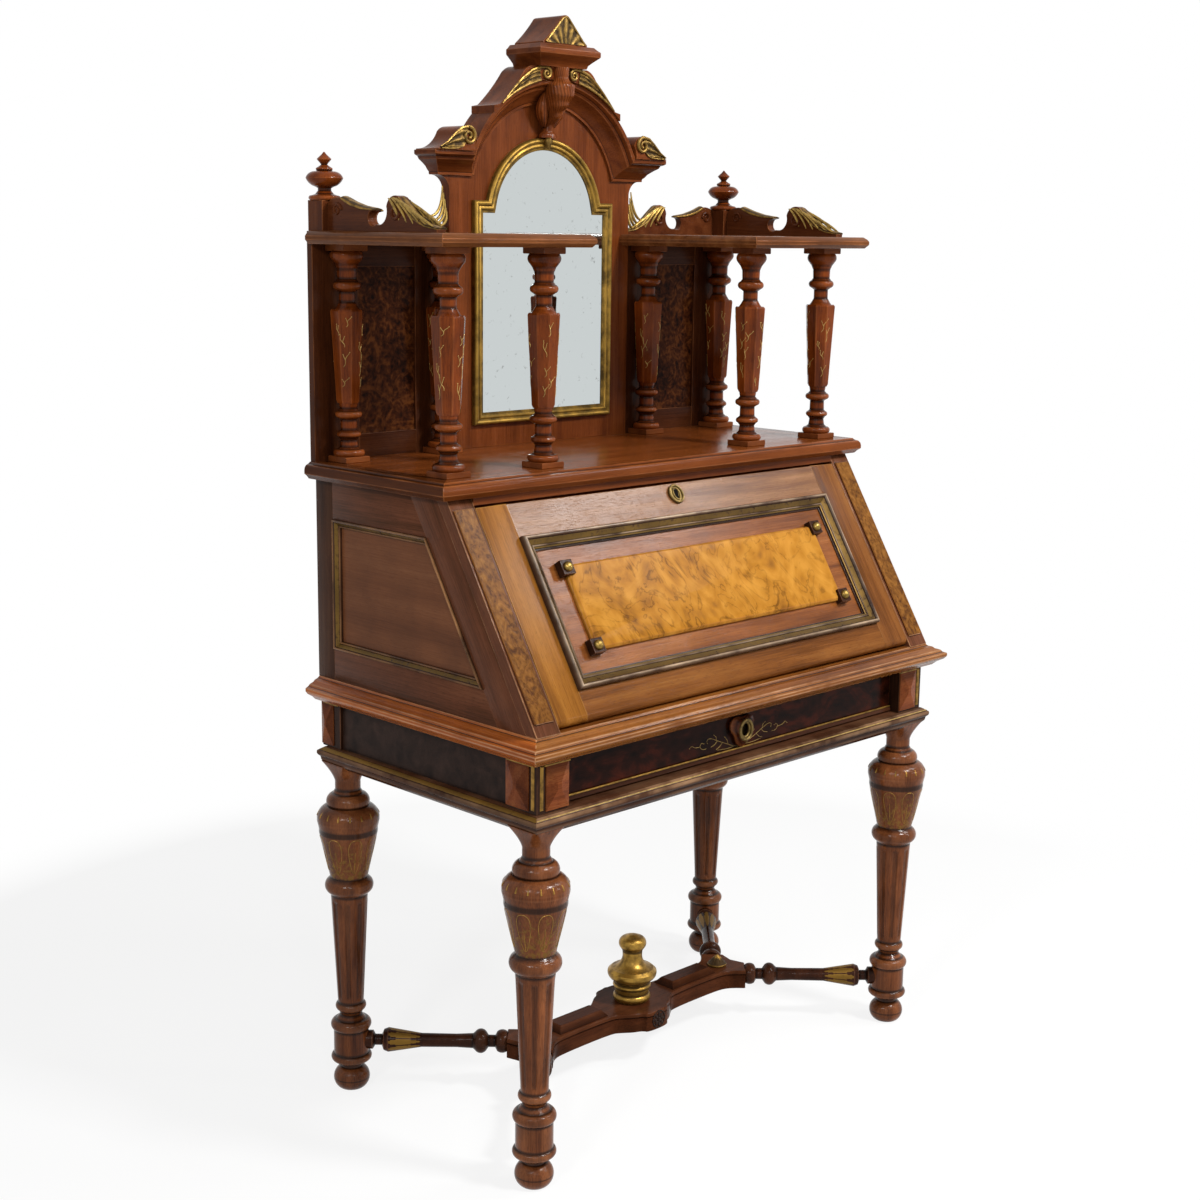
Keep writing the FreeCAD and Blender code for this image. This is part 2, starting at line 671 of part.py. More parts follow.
def build_case_sides():
    """Frames, panels and panel mouldings of the two case sides."""
    outer = CASE_OUTER
    inner = CASE_OUTER - SIDE_THICK
    rim, hole = side_outline(), side_panel_outline()
    members = []
    for i in range(4):
        j = (i + 1) % 4
        corners = [V(inner, *p) for p in (rim[i], rim[j], hole[j], hole[i])]
        members.append(prism(corners, V(SIDE_THICK, 0, 0)))
    face = outer - SIDE_PANEL_SET
    panel = prism([V(face - SIDE_PANEL_THICK, *p) for p in hole], V(SIDE_PANEL_THICK, 0, 0))
    rise = SIDE_PANEL_SET + SIDE_MOULD_PROUD
    width = SIDE_MOULD_WIDTH
    profile = [(0, 0), (width, 0), (width, rise * 0.25), (width * 0.7, rise * 0.55), (width * 0.4, rise),
               (width * 0.15, rise), (0, rise * 0.8)]
    strips = mitred(hole, profile, lambda y, z, h: V(face + h, y, z))
    frames = [twin for member in members for twin in pair(member)]
    mouldings = [twin for strip in strips for twin in pair(strip)]
    return frames, pair(panel), mouldings


def build_slant_stiles():
    """Fixed sloping stiles beside the fall front, each with a raised strip, drilled for the pivot pin."""
    x0 = CASE_OUTER - STILE_WIDTH
    back = LID_THICK / math.sin(SLANT)
    low, high = slant_face(BOARD_TOP), slant_face(TOP_LOW)
    corners = [(low, BOARD_TOP), (low + back, BOARD_TOP), (high + back, TOP_LOW), (high, TOP_LOW)]
    stile = prism([V(x0, *p) for p in corners], V(STILE_WIDTH, 0, 0))
    length = LID_LENGTH - LID_R
    ring = []
    for along, x in ((0, x0), (0, CASE_OUTER), (length, CASE_OUTER), (length, x0)):
        inward = STRIP_MARGIN if x == x0 else -STRIP_MARGIN
        ring.append(on_slant(x + inward, along, LID_R))
    strip = prism(ring, on_slant(0, 0, STRIP_PROUD) - on_slant(0, 0, 0))
    socket = Part.makeCylinder(PIVOT_R, PIVOT_LENGTH, V(x0, AXIS_Y, AXIS_Z), V(1, 0, 0))
    return pair(stile.cut(socket).fuse(strip))


def build_case_inside():
    """Back board, inner cheeks, writing bed and pigeonholes."""
    inner = CASE_OUTER - SIDE_THICK
    rear = BACK - CASE_BACK_THICK
    back = box(-inner, inner, rear, BACK, BOARD_TOP, TOP_LOW)
    edge = LID_THICK / math.sin(SLANT)
    x0 = LID_HALF + LID_GAP * 3
    low, high = slant_face(BOARD_TOP) + edge, slant_face(TOP_LOW) + edge
    corners = [(low, BOARD_TOP), (rear, BOARD_TOP), (rear, TOP_LOW), (high, TOP_LOW)]
    cheek = prism([V(x0, *p) for p in corners], V(CHEEK_THICK, 0, 0))
    bed_top = AXIS_Z + LID_R
    bed_front = slant_face(bed_top) + edge + LID_GAP
    bed = box(-x0, x0, bed_front, rear, BOARD_TOP, bed_top)
    nest_front = rear - NEST_DEPTH
    shelf_low = bed_top + NEST_LOW_BAY
    shelf_top = shelf_low + NEST_THICK
    nest = [box(-x0, x0, nest_front, rear, shelf_low, shelf_top)]
    bay = 2 * x0 / NEST_BAYS
    for i in range(1, NEST_BAYS):
        x = -x0 + bay * i - NEST_THICK / 2
        nest.append(box(x, x + NEST_THICK, nest_front, rear, shelf_top, TOP_LOW))
        nest.append(box(x, x + NEST_THICK, nest_front, rear, bed_top, shelf_low))
    return back, pair(cheek), bed, nest


def build_top_rail():
    """Rail over the fall front with the stop lip behind it and the bolt's mortise."""
    x0 = CASE_OUTER - STILE_WIDTH
    low = TOP_LOW - TOP_RAIL_THICK
    lip = 20.0
    behind = LID_THICK / math.sin(SLANT) + LID_GAP
    front = slant_face(low) + 2
    stop = slant_face(low - lip) + behind
    stop_top = slant_face(low) + behind
    rear = stop_top + 14
    corners = [(front, low), (stop_top, low), (stop, low - lip), (rear, low - lip)]
    corners += [(rear, TOP_LOW), (front, TOP_LOW)]
    rail = prism([V(-x0, *p) for p in corners], V(2 * x0, 0, 0))
    wide = BOLT_WIDTH / 2 + BOLT_FIT * 2
    deep = BOLT_THICK / 2 + BOLT_FIT * 2
    start = LID_LENGTH - LID_R
    end = start + LID_BOLT_TRAVEL + BOLT_FIT
    mid = LOCK_THICK / 2 - LID_R
    section = [on_slant(-wide, start, mid - deep), on_slant(wide, start, mid - deep),
               on_slant(wide, start, mid + deep), on_slant(-wide, start, mid + deep)]
    return rail.cut(prism(section, on_slant(0, end, 0) - on_slant(0, start, 0)))


def build_lid():
    """Fall front: frame, panel, moulding, tablet, blocks, studs, escutcheon, lock and bolt."""
    top = LID_LENGTH - LID_R
    half = LID_HALF
    inner = half - LID_STILE

    def slab(x0, x1, t0, t1, w0, w1):
        """Block in the fall front's own directions."""
        ring = [on_slant(x0, t0, w0), on_slant(x1, t0, w0), on_slant(x1, t1, w0), on_slant(x0, t1, w0)]
        return prism(ring, on_slant(0, 0, w1) - on_slant(0, 0, w0))

    def edge_roll(x0, x1):
        """Half-round lower edge about the hinge axis."""
        wire = outline(on_slant(x0, 0, LID_R), (on_slant(x0, -LID_R, 0), on_slant(x0, 0, -LID_R)))
        return Part.Face(wire).extrude(V(x1 - x0, 0, 0))

    hole_start = V(half - PIVOT_LENGTH, AXIS_Y, AXIS_Z)
    pin_hole = Part.makeCylinder(PIVOT_R + PIVOT_FIT, PIVOT_LENGTH + LID_GAP, hole_start, V(1, 0, 0))
    stile = slab(inner, half, 0, top, -LID_R, LID_R).fuse(edge_roll(inner, half)).removeSplitter()
    stile = stile.cut(pin_hole)
    low_rail = slab(-inner, inner, 0, LID_LOW_RAIL - LID_R, -LID_R, LID_R)
    low_rail = low_rail.fuse(edge_roll(-inner, inner)).removeSplitter()
    rail_low = top - LID_TOP_RAIL
    top_rail = slab(-inner, inner, rail_low, top, -LID_R, LID_R)
    key_t = top - 21
    pocket = slab(-LOCK_WIDTH / 2, LOCK_WIDTH / 2, top - LOCK_HEIGHT, top, -LID_R, -LID_R + LOCK_THICK)
    outward = on_slant(0, 0, 1) - on_slant(0, 0, 0)
    keyhole = Part.makeCylinder(KEYHOLE_R, LID_THICK, on_slant(0, key_t, -LID_R), outward)
    top_rail = top_rail.cut(pocket).cut(keyhole)

    panel_low, panel_high = LID_LOW_RAIL - LID_R, rail_low
    panel = slab(-inner, inner, panel_low, panel_high, -LID_PANEL_THICK / 2, LID_PANEL_THICK / 2)
    face = LID_PANEL_THICK / 2
    rise = LID_R - face + LID_MOULD_PROUD
    width = LID_MOULD_WIDTH
    profile = [(0, 0), (width, 0), (width, rise * 0.2), (width * 0.8, rise * 0.3), (width * 0.55, rise * 0.5),
               (width * 0.4, rise), (width * 0.1, rise), (0, rise * 0.75)]
    hole = [(-inner, panel_low), (inner, panel_low), (inner, panel_high), (-inner, panel_high)]
    moulding = mitred(hole, profile, lambda x, t, h: on_slant(x, t, face + h))

    middle = (panel_low + panel_high) / 2
    t0, t1 = middle - TABLET_HEIGHT / 2, middle + TABLET_HEIGHT / 2
    bevel = 4.0

    def tablet_ring(margin, out):
        x = TABLET_HALF_WIDTH - margin
        return polygon([on_slant(-x, t0 + margin, out), on_slant(x, t0 + margin, out),
                        on_slant(x, t1 - margin, out), on_slant(-x, t1 - margin, out)])
    tablet = loft([tablet_ring(0, face), tablet_ring(0, face + TABLET_THICK - bevel),
                   tablet_ring(bevel, face + TABLET_THICK)])
    blocks, studs = [], []
    for x in (-TABLET_HALF_WIDTH, TABLET_HALF_WIDTH):
        for t in (t0 + 6, t1 - 6):
            b = STUD_BLOCK / 2
            block = slab(x - b, x + b, t - b, t + b, face, face + STUD_BLOCK_THICK)
            blocks.append(block)
            stud = turned([(0, 1), (0.12, 1), (0.9, 0.05, 0.7, 0.66)], STUD_R, STUD_R)
            stud.rotate(V(0, 0, 0), V(1, 0, 0), math.degrees(SLANT))
            place = on_slant(x, t, face + STUD_BLOCK_THICK)
            studs.append(moved(stud, place.x, place.y, place.z))
    for block in blocks:
        tablet = tablet.cut(block)

    plate = build_escutcheon()
    plate.rotate(V(0, 0, 0), V(1, 0, 0), math.degrees(SLANT))
    place = on_slant(0, key_t, LID_R)
    plate.translate(place)

    lock = slab(-LOCK_WIDTH / 2, LOCK_WIDTH / 2, top - LOCK_HEIGHT, top, -LID_R, -LID_R + LOCK_THICK)
    bolt_w = -LID_R + LOCK_THICK / 2
    half_bolt = BOLT_THICK / 2
    slot = slab(-BOLT_WIDTH / 2 - BOLT_FIT, BOLT_WIDTH / 2 + BOLT_FIT, top - LID_BOLT_LENGTH, top,
                bolt_w - half_bolt - BOLT_FIT, bolt_w + half_bolt + BOLT_FIT)
    lock = lock.cut(slot)
    bolt = slab(-BOLT_WIDTH / 2, BOLT_WIDTH / 2, top - LID_BOLT_LENGTH, top - BOLT_FIT,
                bolt_w - half_bolt, bolt_w + half_bolt)
    return {
        "lid_frame": pair(stile) + [low_rail, top_rail], "lid_panel": [panel], "lid_moulding": moulding,
        "lid_tablet": [tablet], "lid_blocks": blocks, "lid_studs": studs, "lid_escutcheon": [plate],
        "lid_lock": [lock], "lid_lock_bolt": [bolt],
    }


def build_pivots():
    """Brass pivot pins of the fall front and the studs that carry the case arms of the stays."""
    x0 = CASE_OUTER - STILE_WIDTH
    pin_start = V(x0 - PIVOT_LENGTH + LID_GAP, AXIS_Y, AXIS_Z)
    pin = Part.makeCylinder(PIVOT_R, PIVOT_LENGTH * 2 - LID_GAP, pin_start, V(1, 0, 0))
    y, z = stay_case_pivot()
    cheek = LID_HALF + LID_GAP * 3
    start = x0 - STAY_PLAY * 2 - STAY_BAR_THICK
    stud = Part.makeCylinder(STAY_STUD_R, cheek - start, V(start, y, z), V(1, 0, 0))
    start = x0 - STAY_PLAY
    collar = Part.makeCylinder(STAY_STUD_R * 2, cheek - start, V(start, y, z), V(1, 0, 0))
    return pair(pin) + pair(stud.fuse(collar))


def stay_case_pivot():
    """Y and Z of the stay's pivot on the inner cheek."""
    angle = math.radians(STAY_CASE_ANGLE)
    return AXIS_Y + STAY_ARM * math.cos(angle), AXIS_Z + STAY_ARM * math.sin(angle)


def stay_lid_pivot():
    """Y and Z of the stay's pivot on the closed fall front."""
    angle = SLANT - math.asin(STAY_OFFSET / STAY_ARM)
    return AXIS_Y + STAY_ARM * math.cos(angle), AXIS_Z + STAY_ARM * math.sin(angle)


def stay_elbow():
    """Y and Z of the elbow, the far corner of the rhombus."""
    (ya, za), (yb, zb) = stay_case_pivot(), stay_lid_pivot()
    return ya + yb - AXIS_Y, za + zb - AXIS_Z


def stay_bar(x, start, end, start_hole, end_hole):
    """Flat bar with round ends and a hole at each end."""
    half = STAY_BAR_WIDTH / 2
    (y0, z0), (y1, z1) = start, end
    angle = math.atan2(z1 - z0, y1 - y0)
    ny, nz = -math.sin(angle) * half, math.cos(angle) * half
    ey, ez = math.cos(angle) * half, math.sin(angle) * half
    wire = outline(
        V(x, y0 + ny, z0 + nz), (V(x, y0 - ey, z0 - ez), V(x, y0 - ny, z0 - nz)),
        V(x, y1 - ny, z1 - nz), (V(x, y1 + ey, z1 + ez), V(x, y1 + ny, z1 + nz)),
    )
    bar = Part.Face(wire).extrude(V(STAY_BAR_THICK, 0, 0))
    for (y, z), r in ((start, start_hole), (end, end_hole)):
        if r:
            bar = bar.cut(Part.makeCylinder(r, STAY_BAR_THICK, V(x, y, z), V(1, 0, 0)))
    return bar


def build_stays():
    """Case arms with the elbow rivet, lid arms, and the lid brackets with their studs."""
    case_x = CASE_OUTER - STILE_WIDTH - STAY_PLAY - STAY_BAR_THICK
    lid_x = case_x - STAY_PLAY - STAY_BAR_THICK
    case_pivot, lid_pivot, elbow = stay_case_pivot(), stay_lid_pivot(), stay_elbow()
    hole = STAY_STUD_R + STAY_STUD_FIT
    case_arm = stay_bar(case_x, case_pivot, elbow, hole, 0)
    rivet_start = lid_x - STAY_PLAY
    rivet = Part.makeCylinder(STAY_STUD_R, case_x - rivet_start, V(rivet_start, *elbow), V(1, 0, 0))
    case_arm = case_arm.fuse(rivet)
    lid_arm = stay_bar(lid_x, elbow, lid_pivot, STAY_STUD_R + STAY_OPEN_FIT, hole)
    block_w = -LID_R
    block = 9.0
    x1 = lid_x - STAY_PLAY
    along = math.sqrt(STAY_ARM ** 2 - STAY_OFFSET ** 2)
    ring = [on_slant(x1 - block, along - block, block_w), on_slant(x1, along - block, block_w),
            on_slant(x1, along + block, block_w), on_slant(x1 - block, along + block, block_w)]
    depth = STAY_OFFSET - LID_R + STAY_BAR_WIDTH / 2
    bracket = prism(ring, on_slant(0, 0, -depth) - on_slant(0, 0, 0))
    stud = Part.makeCylinder(STAY_STUD_R, STAY_PLAY + STAY_BAR_THICK, V(x1, *lid_pivot), V(1, 0, 0))
    return case_arm, lid_arm, pair(bracket.fuse(stud))


def build_top_board():
    """Moulded board that carries the gallery."""
    half = TOP_WIDTH / 2
    low, top = TOP_LOW, TOP_LEVEL
    levels = [
        (9, low), (5, low + 5), (0, low + 9), (0, low + 15), (1, low + 20), (4, low + 24),
        (9, top - 3.5), (12, top),
    ]
    return moulded_board(-half, half, TOP_DEPTH, 0, levels)


def build_shelves():
    """Two moulded shelves, notched round the centre panel."""
    top, low = SHELF_TOP, SHELF_LOW
    levels = [(6, low), (0, low + 7), (0, low + 13), (3, top - 4), (8, top)]
    shelf = moulded_board(SHELF_INNER, SHELF_OUTER, TOP_DEPTH, WING_THICK, levels)
    notch = box(0, CENTRE_HALF, from_back(CENTRE_THICK), BACK, low - 1, top + 1)
    return pair(shelf.cut(notch))


def build_column():
    """Turned column on the Z axis from the top board to the shelf, with an eight-sided middle."""
    low, high = TOP_LEVEL, SHELF_LOW
    base, cap = low + PLINTH_HIGH, high - CAP_HIGH
    tall = cap - base
    foot = [
        (0, 0.857), (0.035, 0.714, 0.0146, 0.964), (0.047, 0.554), (0.079, 0.493), (0.093, 0.607),
        (0.1225, 0.607, 0.108, 0.75), (0.131, 0.5), (0.181, 0.486), (0.1895, 0.643),
        (0.2245, 0.643, 0.207, 0.82), (0.236, 0.521), (0.2625, 0.571),
    ]
    head = [
        (0.72, 0.75), (0.732, 0.643), (0.755, 0.482), (0.802, 0.482), (0.8135, 0.679),
        (0.854, 0.679, 0.834, 0.857), (0.866, 0.571), (0.9125, 0.589), (0.936, 0.714), (0.9475, 0.821),
        (0.959, 0.929), (1.0, 0.893, 0.98, 1.0),
    ]
    wires = []
    for share, flat in ((0.2625, 0.607), (0.277, 0.686), (0.711, 0.957), (0.72, 0.893)):
        r = flat * COLUMN_R / math.cos(math.pi / 8)
        angles = [math.pi / 8 + i * math.pi / 4 for i in range(8)]
        wires.append(polygon([V(r * math.cos(a), r * math.sin(a), share * tall) for a in angles]))
    middle = turned(foot, tall, COLUMN_R).fuse([turned(head, tall, COLUMN_R), loft(wires)])
    half = COLUMN_BASE / 2
    ends = [box(-half, half, -half, half, low, base), box(-half, half, -half, half, cap, high)]
    return moved(middle, z=base).fuse(ends).removeSplitter()


def build_columns():
    """Eight columns, four under each shelf."""
    column = build_column()
    columns = []
    for side in (-1, 1):
        for x in (COLUMN_OUTER, COLUMN_INNER):
            for distance in (COLUMN_FRONT, COLUMN_BACK):
                columns.append(moved(column, side * x, from_back(distance)))
    return columns


def build_wings():
    """Framed wings of the gallery back and their panels."""
    x0, x1 = CENTRE_HALF, WING_OUTER
    p0, p1 = x0 + WING_STILE_IN, x1 - WING_STILE_OUT
    z0, z1 = TOP_LEVEL, SHELF_TOP
    q0, q1 = z0 + WING_RAIL_LOW, z1 - WING_RAIL_HIGH
    face = from_back(WING_THICK)
    members = [
        box(x0, p0, face, BACK, z0, z1), box(p1, x1, face, BACK, z0, z1),
        box(p0, p1, face, BACK, z0, q0), box(p0, p1, face, BACK, q1, z1),
    ]
    front = face + WING_PANEL_SET
    panel = box(p0, p1, front, front + WING_PANEL_THICK, q0, q1)
    return [twin for member in members for twin in pair(member)], pair(panel)


def build_centre_panel():
    """Tall back panel behind the mirror, waisted, flaring to the ears, with an arched head."""
    y = BACK
    ear_in = math.sqrt(ARCH_R ** 2 - (CORNICE_TOP - ARCH_Z) ** 2)
    flare = EAR_HALF - CENTRE_HALF
    bend = 1 - math.sqrt(0.5)
    bend_x = CENTRE_HALF + flare * bend
    bend_z = FLARE_LOW + (CORNICE_LOW - FLARE_LOW) * (1 - bend)
    wire = outline(
        V(-CENTRE_HALF, y, TOP_LEVEL), V(CENTRE_HALF, y, TOP_LEVEL), V(CENTRE_HALF, y, FLARE_LOW),
        (V(bend_x, y, bend_z), V(EAR_HALF, y, CORNICE_LOW)),
        V(EAR_HALF, y, CORNICE_TOP), V(ear_in, y, CORNICE_TOP),
        (V(0, y, ARCH_Z + ARCH_R), V(-ear_in, y, CORNICE_TOP)),
        V(-EAR_HALF, y, CORNICE_TOP), V(-EAR_HALF, y, CORNICE_LOW),
        (V(-bend_x, y, bend_z), V(-CENTRE_HALF, y, FLARE_LOW)),
    )
    return Part.Face(wire).extrude(V(0, -CENTRE_THICK, 0))


def mirror_outline(margin, y):
    """Mirror shape moved inwards by a margin: straight sides, shoulders and an arched head."""
    half, arch = MIRROR_HALF - margin, MIRROR_ARCH_HALF - margin
    low, shoulder, top = MIRROR_LOW + margin, MIRROR_SHOULDER - margin, MIRROR_ARCH_TOP - margin
    return outline(
        V(-half, y, low), V(half, y, low), V(half, y, shoulder), V(arch, y, shoulder),
        (V(0, y, top), V(-arch, y, shoulder)), V(-half, y, shoulder),
    )


def build_mirror():
    """Gilt frame and the plate of glass inside it."""
    back = from_back(CENTRE_THICK)
    front = back - MIRROR_PROUD
    crest = MIRROR_FRAME * 0.25
    edge = back - MIRROR_PROUD * 0.7
    outer = loft([mirror_outline(0, back), mirror_outline(0, edge), mirror_outline(crest, front)])
    inner = Part.Face(mirror_outline(MIRROR_FRAME, back)).extrude(V(0, -MIRROR_PROUD, 0))
    frame = outer.cut(inner)
    glass = Part.Face(mirror_outline(MIRROR_FRAME + GLASS_FIT, back)).extrude(V(0, -GLASS_THICK, 0))
    return frame, glass


def cornice_profile():
    """Cornice section as (outward, upward) points from its lower inner edge."""
    tall = CORNICE_TOP - CORNICE_LOW
    out = CORNICE_OUT
    shares = [
        (0, 0), (0.14, 0), (0.14, 0.12), (0.24, 0.2), (0.34, 0.34), (0.55, 0.5), (0.74, 0.62), (0.8, 0.74),
        (0.93, 0.78), (1, 0.83), (1, 1),
    ]
    return [(out * a, tall * b) for a, b in shares]


def build_cornice():
    """Arched cornice with level ears that return along the sides of the hood."""
    profile = cornice_profile()
    tall = CORNICE_TOP - CORNICE_LOW
    face = from_back(CENTRE_THICK)
    section = [V(ARCH_R - tall + up, face - out, ARCH_Z) for out, up in profile]
    section.append(V(ARCH_R, face, ARCH_Z))
    ring = Part.Face(polygon(section)).revolve(V(0, 0, ARCH_Z), V(0, 1, 0), 360)
    x_top = math.sqrt(ARCH_R ** 2 - (CORNICE_TOP - ARCH_Z) ** 2)
    x_low = math.sqrt((ARCH_R - tall) ** 2 - (CORNICE_LOW - ARCH_Z) ** 2)
    dx, dz = x_top - x_low, tall
    wide = 2 * ARCH_R
    high = ARCH_Z + wide
    corner_x, corner_z = x_low - dx, CORNICE_LOW - dz
    reach_x, reach_z = x_top + dx * 2, CORNICE_TOP + dz * 2
    right = [(corner_x, corner_z), (reach_x, reach_z), (reach_x, high)]
    around = right + [(-x, z) for x, z in reversed(right)]
    region = prism([V(x, face, z) for x, z in around], V(0, -CORNICE_OUT * 2, 0))
    arch = ring.common(region)
    wires = []
    for out, up in profile[1:]:
        wires.append(rectangle(x_low - dx, EAR_HALF + out, face - out, BACK, CORNICE_LOW + up))
    ear = loft(wires)
    core = box(0, EAR_HALF, face, BACK, CORNICE_LOW - 1, CORNICE_TOP + 1)
    ear = ear.cut(core).cut(region)
    return [arch] + pair(ear)


def build_hood():
    """Scroll blocks on the ears and the body between the arch and the cap."""
    y = BACK
    depth = V(0, -HOOD_DEPTH, 0)
    r = ARCH_R + TOUCH
    top = CORNICE_TOP

    def arch_x(z):
        return math.sqrt(r ** 2 - (z - ARCH_Z) ** 2)
    tip = EAR_HALF + CORNICE_OUT - 4
    eye = 215.0
    crown = top + 42
    inside = arch_x(top + 24)
    foot = arch_x(top)
    scroll = Part.Face(outline(
        V(foot, y, top), V(tip, y, top), V(tip, y, top + 2),
        (V(tip - 34, y, top + 15), V(eye + 22, y, top + 33)),
        (V(eye + 3, y, crown), V(inside + 5, y, top + 24)),
        (V((inside + foot) / 2 + 4.5, y, top + 12), V(foot, y, top)),
    )).extrude(depth)
    step_top = TOP_LEVEL + STEP_UP
    arch_low = step_top - STEP_TALL
    step = arch_x(arch_low)
    neck = CAP_NECK
    body = Part.Face(outline(
        V(step, y, arch_low), V(step, y, step_top), V(step - 14, y, step_top + 3),
        (V(step - 44, y, step_top + 31), V(step - 67, y, step_top + 58)),
        (V(step - 77, y, step_top + 68), V(neck + 12, y, CAP_LOW)),
        V(-neck - 12, y, CAP_LOW), (V(-step + 77, y, step_top + 68), V(-step + 67, y, step_top + 58)),
        (V(-step + 44, y, step_top + 31), V(-step + 14, y, step_top + 3)),
        V(-step, y, step_top), V(-step, y, arch_low), (V(0, y, ARCH_Z + r), V(step, y, arch_low)),
    )).extrude(depth)
    return pair(scroll), body


def build_cap():
    """Cap slab over the hood and the pediment block on it."""
    tall = CAP_TOP - CAP_LOW
    rows = [(0.0, CAP_HALF - CAP_NECK), (0.16, 16.0), (0.34, 9.0), (0.5, 2.0)]
    rows += [(0.56, 0.0), (0.78, 0.0), (0.86, 4.0), (1.0, 9.0)]
    wires = []
    for share, margin in rows:
        half = CAP_HALF - margin
        wires.append(rectangle(-half, half, from_back(CAP_FRONT - margin), BACK, CAP_LOW + tall * share))
    slab = loft(wires)
    base, apex = CAP_TOP, APEX
    half, crest = PEDIMENT_HALF, 9.0
    rise = apex - base
    y = BACK
    gable = Part.Face(outline(
        V(-half, y, base), V(half, y, base), V(half, y, base + 4),
        (V(half * 0.62, y, base + rise * 0.42), V(crest, y, apex - 3)),
        (V(0, y, apex), V(-crest, y, apex - 3)),
        (V(-half * 0.62, y, base + rise * 0.42), V(-half, y, base + 4)),
    )).extrude(V(0, -PEDIMENT_FRONT, 0))
    return slab, gable


def build_keystone(obstacles):
    """Carved drop from the cap down to the mirror frame, fitted over the cornice."""
    face = CENTRE_THICK
    low = MIRROR_ARCH_TOP
    foot = [(low, 16.0, 38.0), (low + 6, 13.0, 38.0), (low + 14, 9.0, 38.0)]
    plume = [
        (CAP_LOW - 92, 19.0, 56.0), (CAP_LOW - 62, 27.0, 82.0), (CAP_LOW - 34, 28.0, 88.0),
        (CAP_LOW - 16, 20.0, 76.0), (CAP_LOW, 19.0, 70.0),
    ]
    wires = []
    for z, half, front in foot + plume:
        wires.append(rectangle(-half, half, from_back(front), from_back(face), z))
    stone = loft(wires)
    for obstacle in obstacles:
        stone = stone.cut(obstacle)
    return [max(stone.Solids, key=lambda solid: solid.Volume)]


def rail_outline(place, near, far):
    """Pierced scroll rail standing on a shelf: near end by the post, far end at the leaf's tip."""
    span = far - near

    def p(along, up):
        return place(near + span * along, SHELF_TOP + RAIL_HIGH * up)
    return outline(
        p(0, 0), p(1, 0), p(1, 0.1), (p(0.84, 0.28), p(0.7, 0.77)), (p(0.62, 1), p(0.55, 0.7)),
        (p(0.535, 0.32), p(0.455, 0.21)), (p(0.39, 0.26), p(0.4, 0.56)), p(0.44, 0.6),
        (p(0.22, 0.77), p(0.13, 0.95)), (p(0.09, 0.965), p(0, 0.81)),
    )


def build_rails():
    """Scroll rails along the sides and the back of each shelf."""
    post_x, post_y = gallery_post_place()
    half = GALLERY_POST / 2
    side_x = post_x - RAIL_THICK / 2
    side_wire = rail_outline(lambda s, z: V(side_x, from_back(s), z), post_y + half, TOP_DEPTH - 45)
    side = Part.Face(side_wire).extrude(V(RAIL_THICK, 0, 0))
    back_far = CENTRE_HALF
    near = post_x - half
    back_wire = rail_outline(lambda s, z: V(near - s, BACK, z), 0, near - back_far)
    back = Part.Face(back_wire).extrude(V(0, -WING_THICK, 0))
    return pair(side) + pair(back)


def gallery_post_place():
    """X and distance from the back of the gallery's corner posts."""
    return WING_OUTER - GALLERY_POST / 2 - 2, GALLERY_POST / 2 + 2


def build_posts():
    """Corner posts of the gallery, each with a turned finial."""
    x, distance = gallery_post_place()
    y = from_back(distance)
    half = GALLERY_POST / 2
    top = SHELF_TOP + GALLERY_POST_HIGH
    post = box(x - half, x + half, y - half, y + half, SHELF_TOP, top)
    base = [(0, 0.6), (0.03, 0.72), (0.14, 0.6, 0.085, 0.78), (0.18, 0.4), (0.26, 0.32), (0.3, 0.42)]
    disc = [(0.42, 0.92), (0.52, 0.92, 0.47, 1.0), (0.6, 0.5), (0.66, 0.28), (0.72, 0.3)]
    tip = [(0.94, 0.16, 0.84, 0.38), (1.0, 0.04)]
    finial = turned(base + disc + tip, FINIAL_TALL, FINIAL_R)
    return pair(post.fuse(moved(finial, x, y, top)))


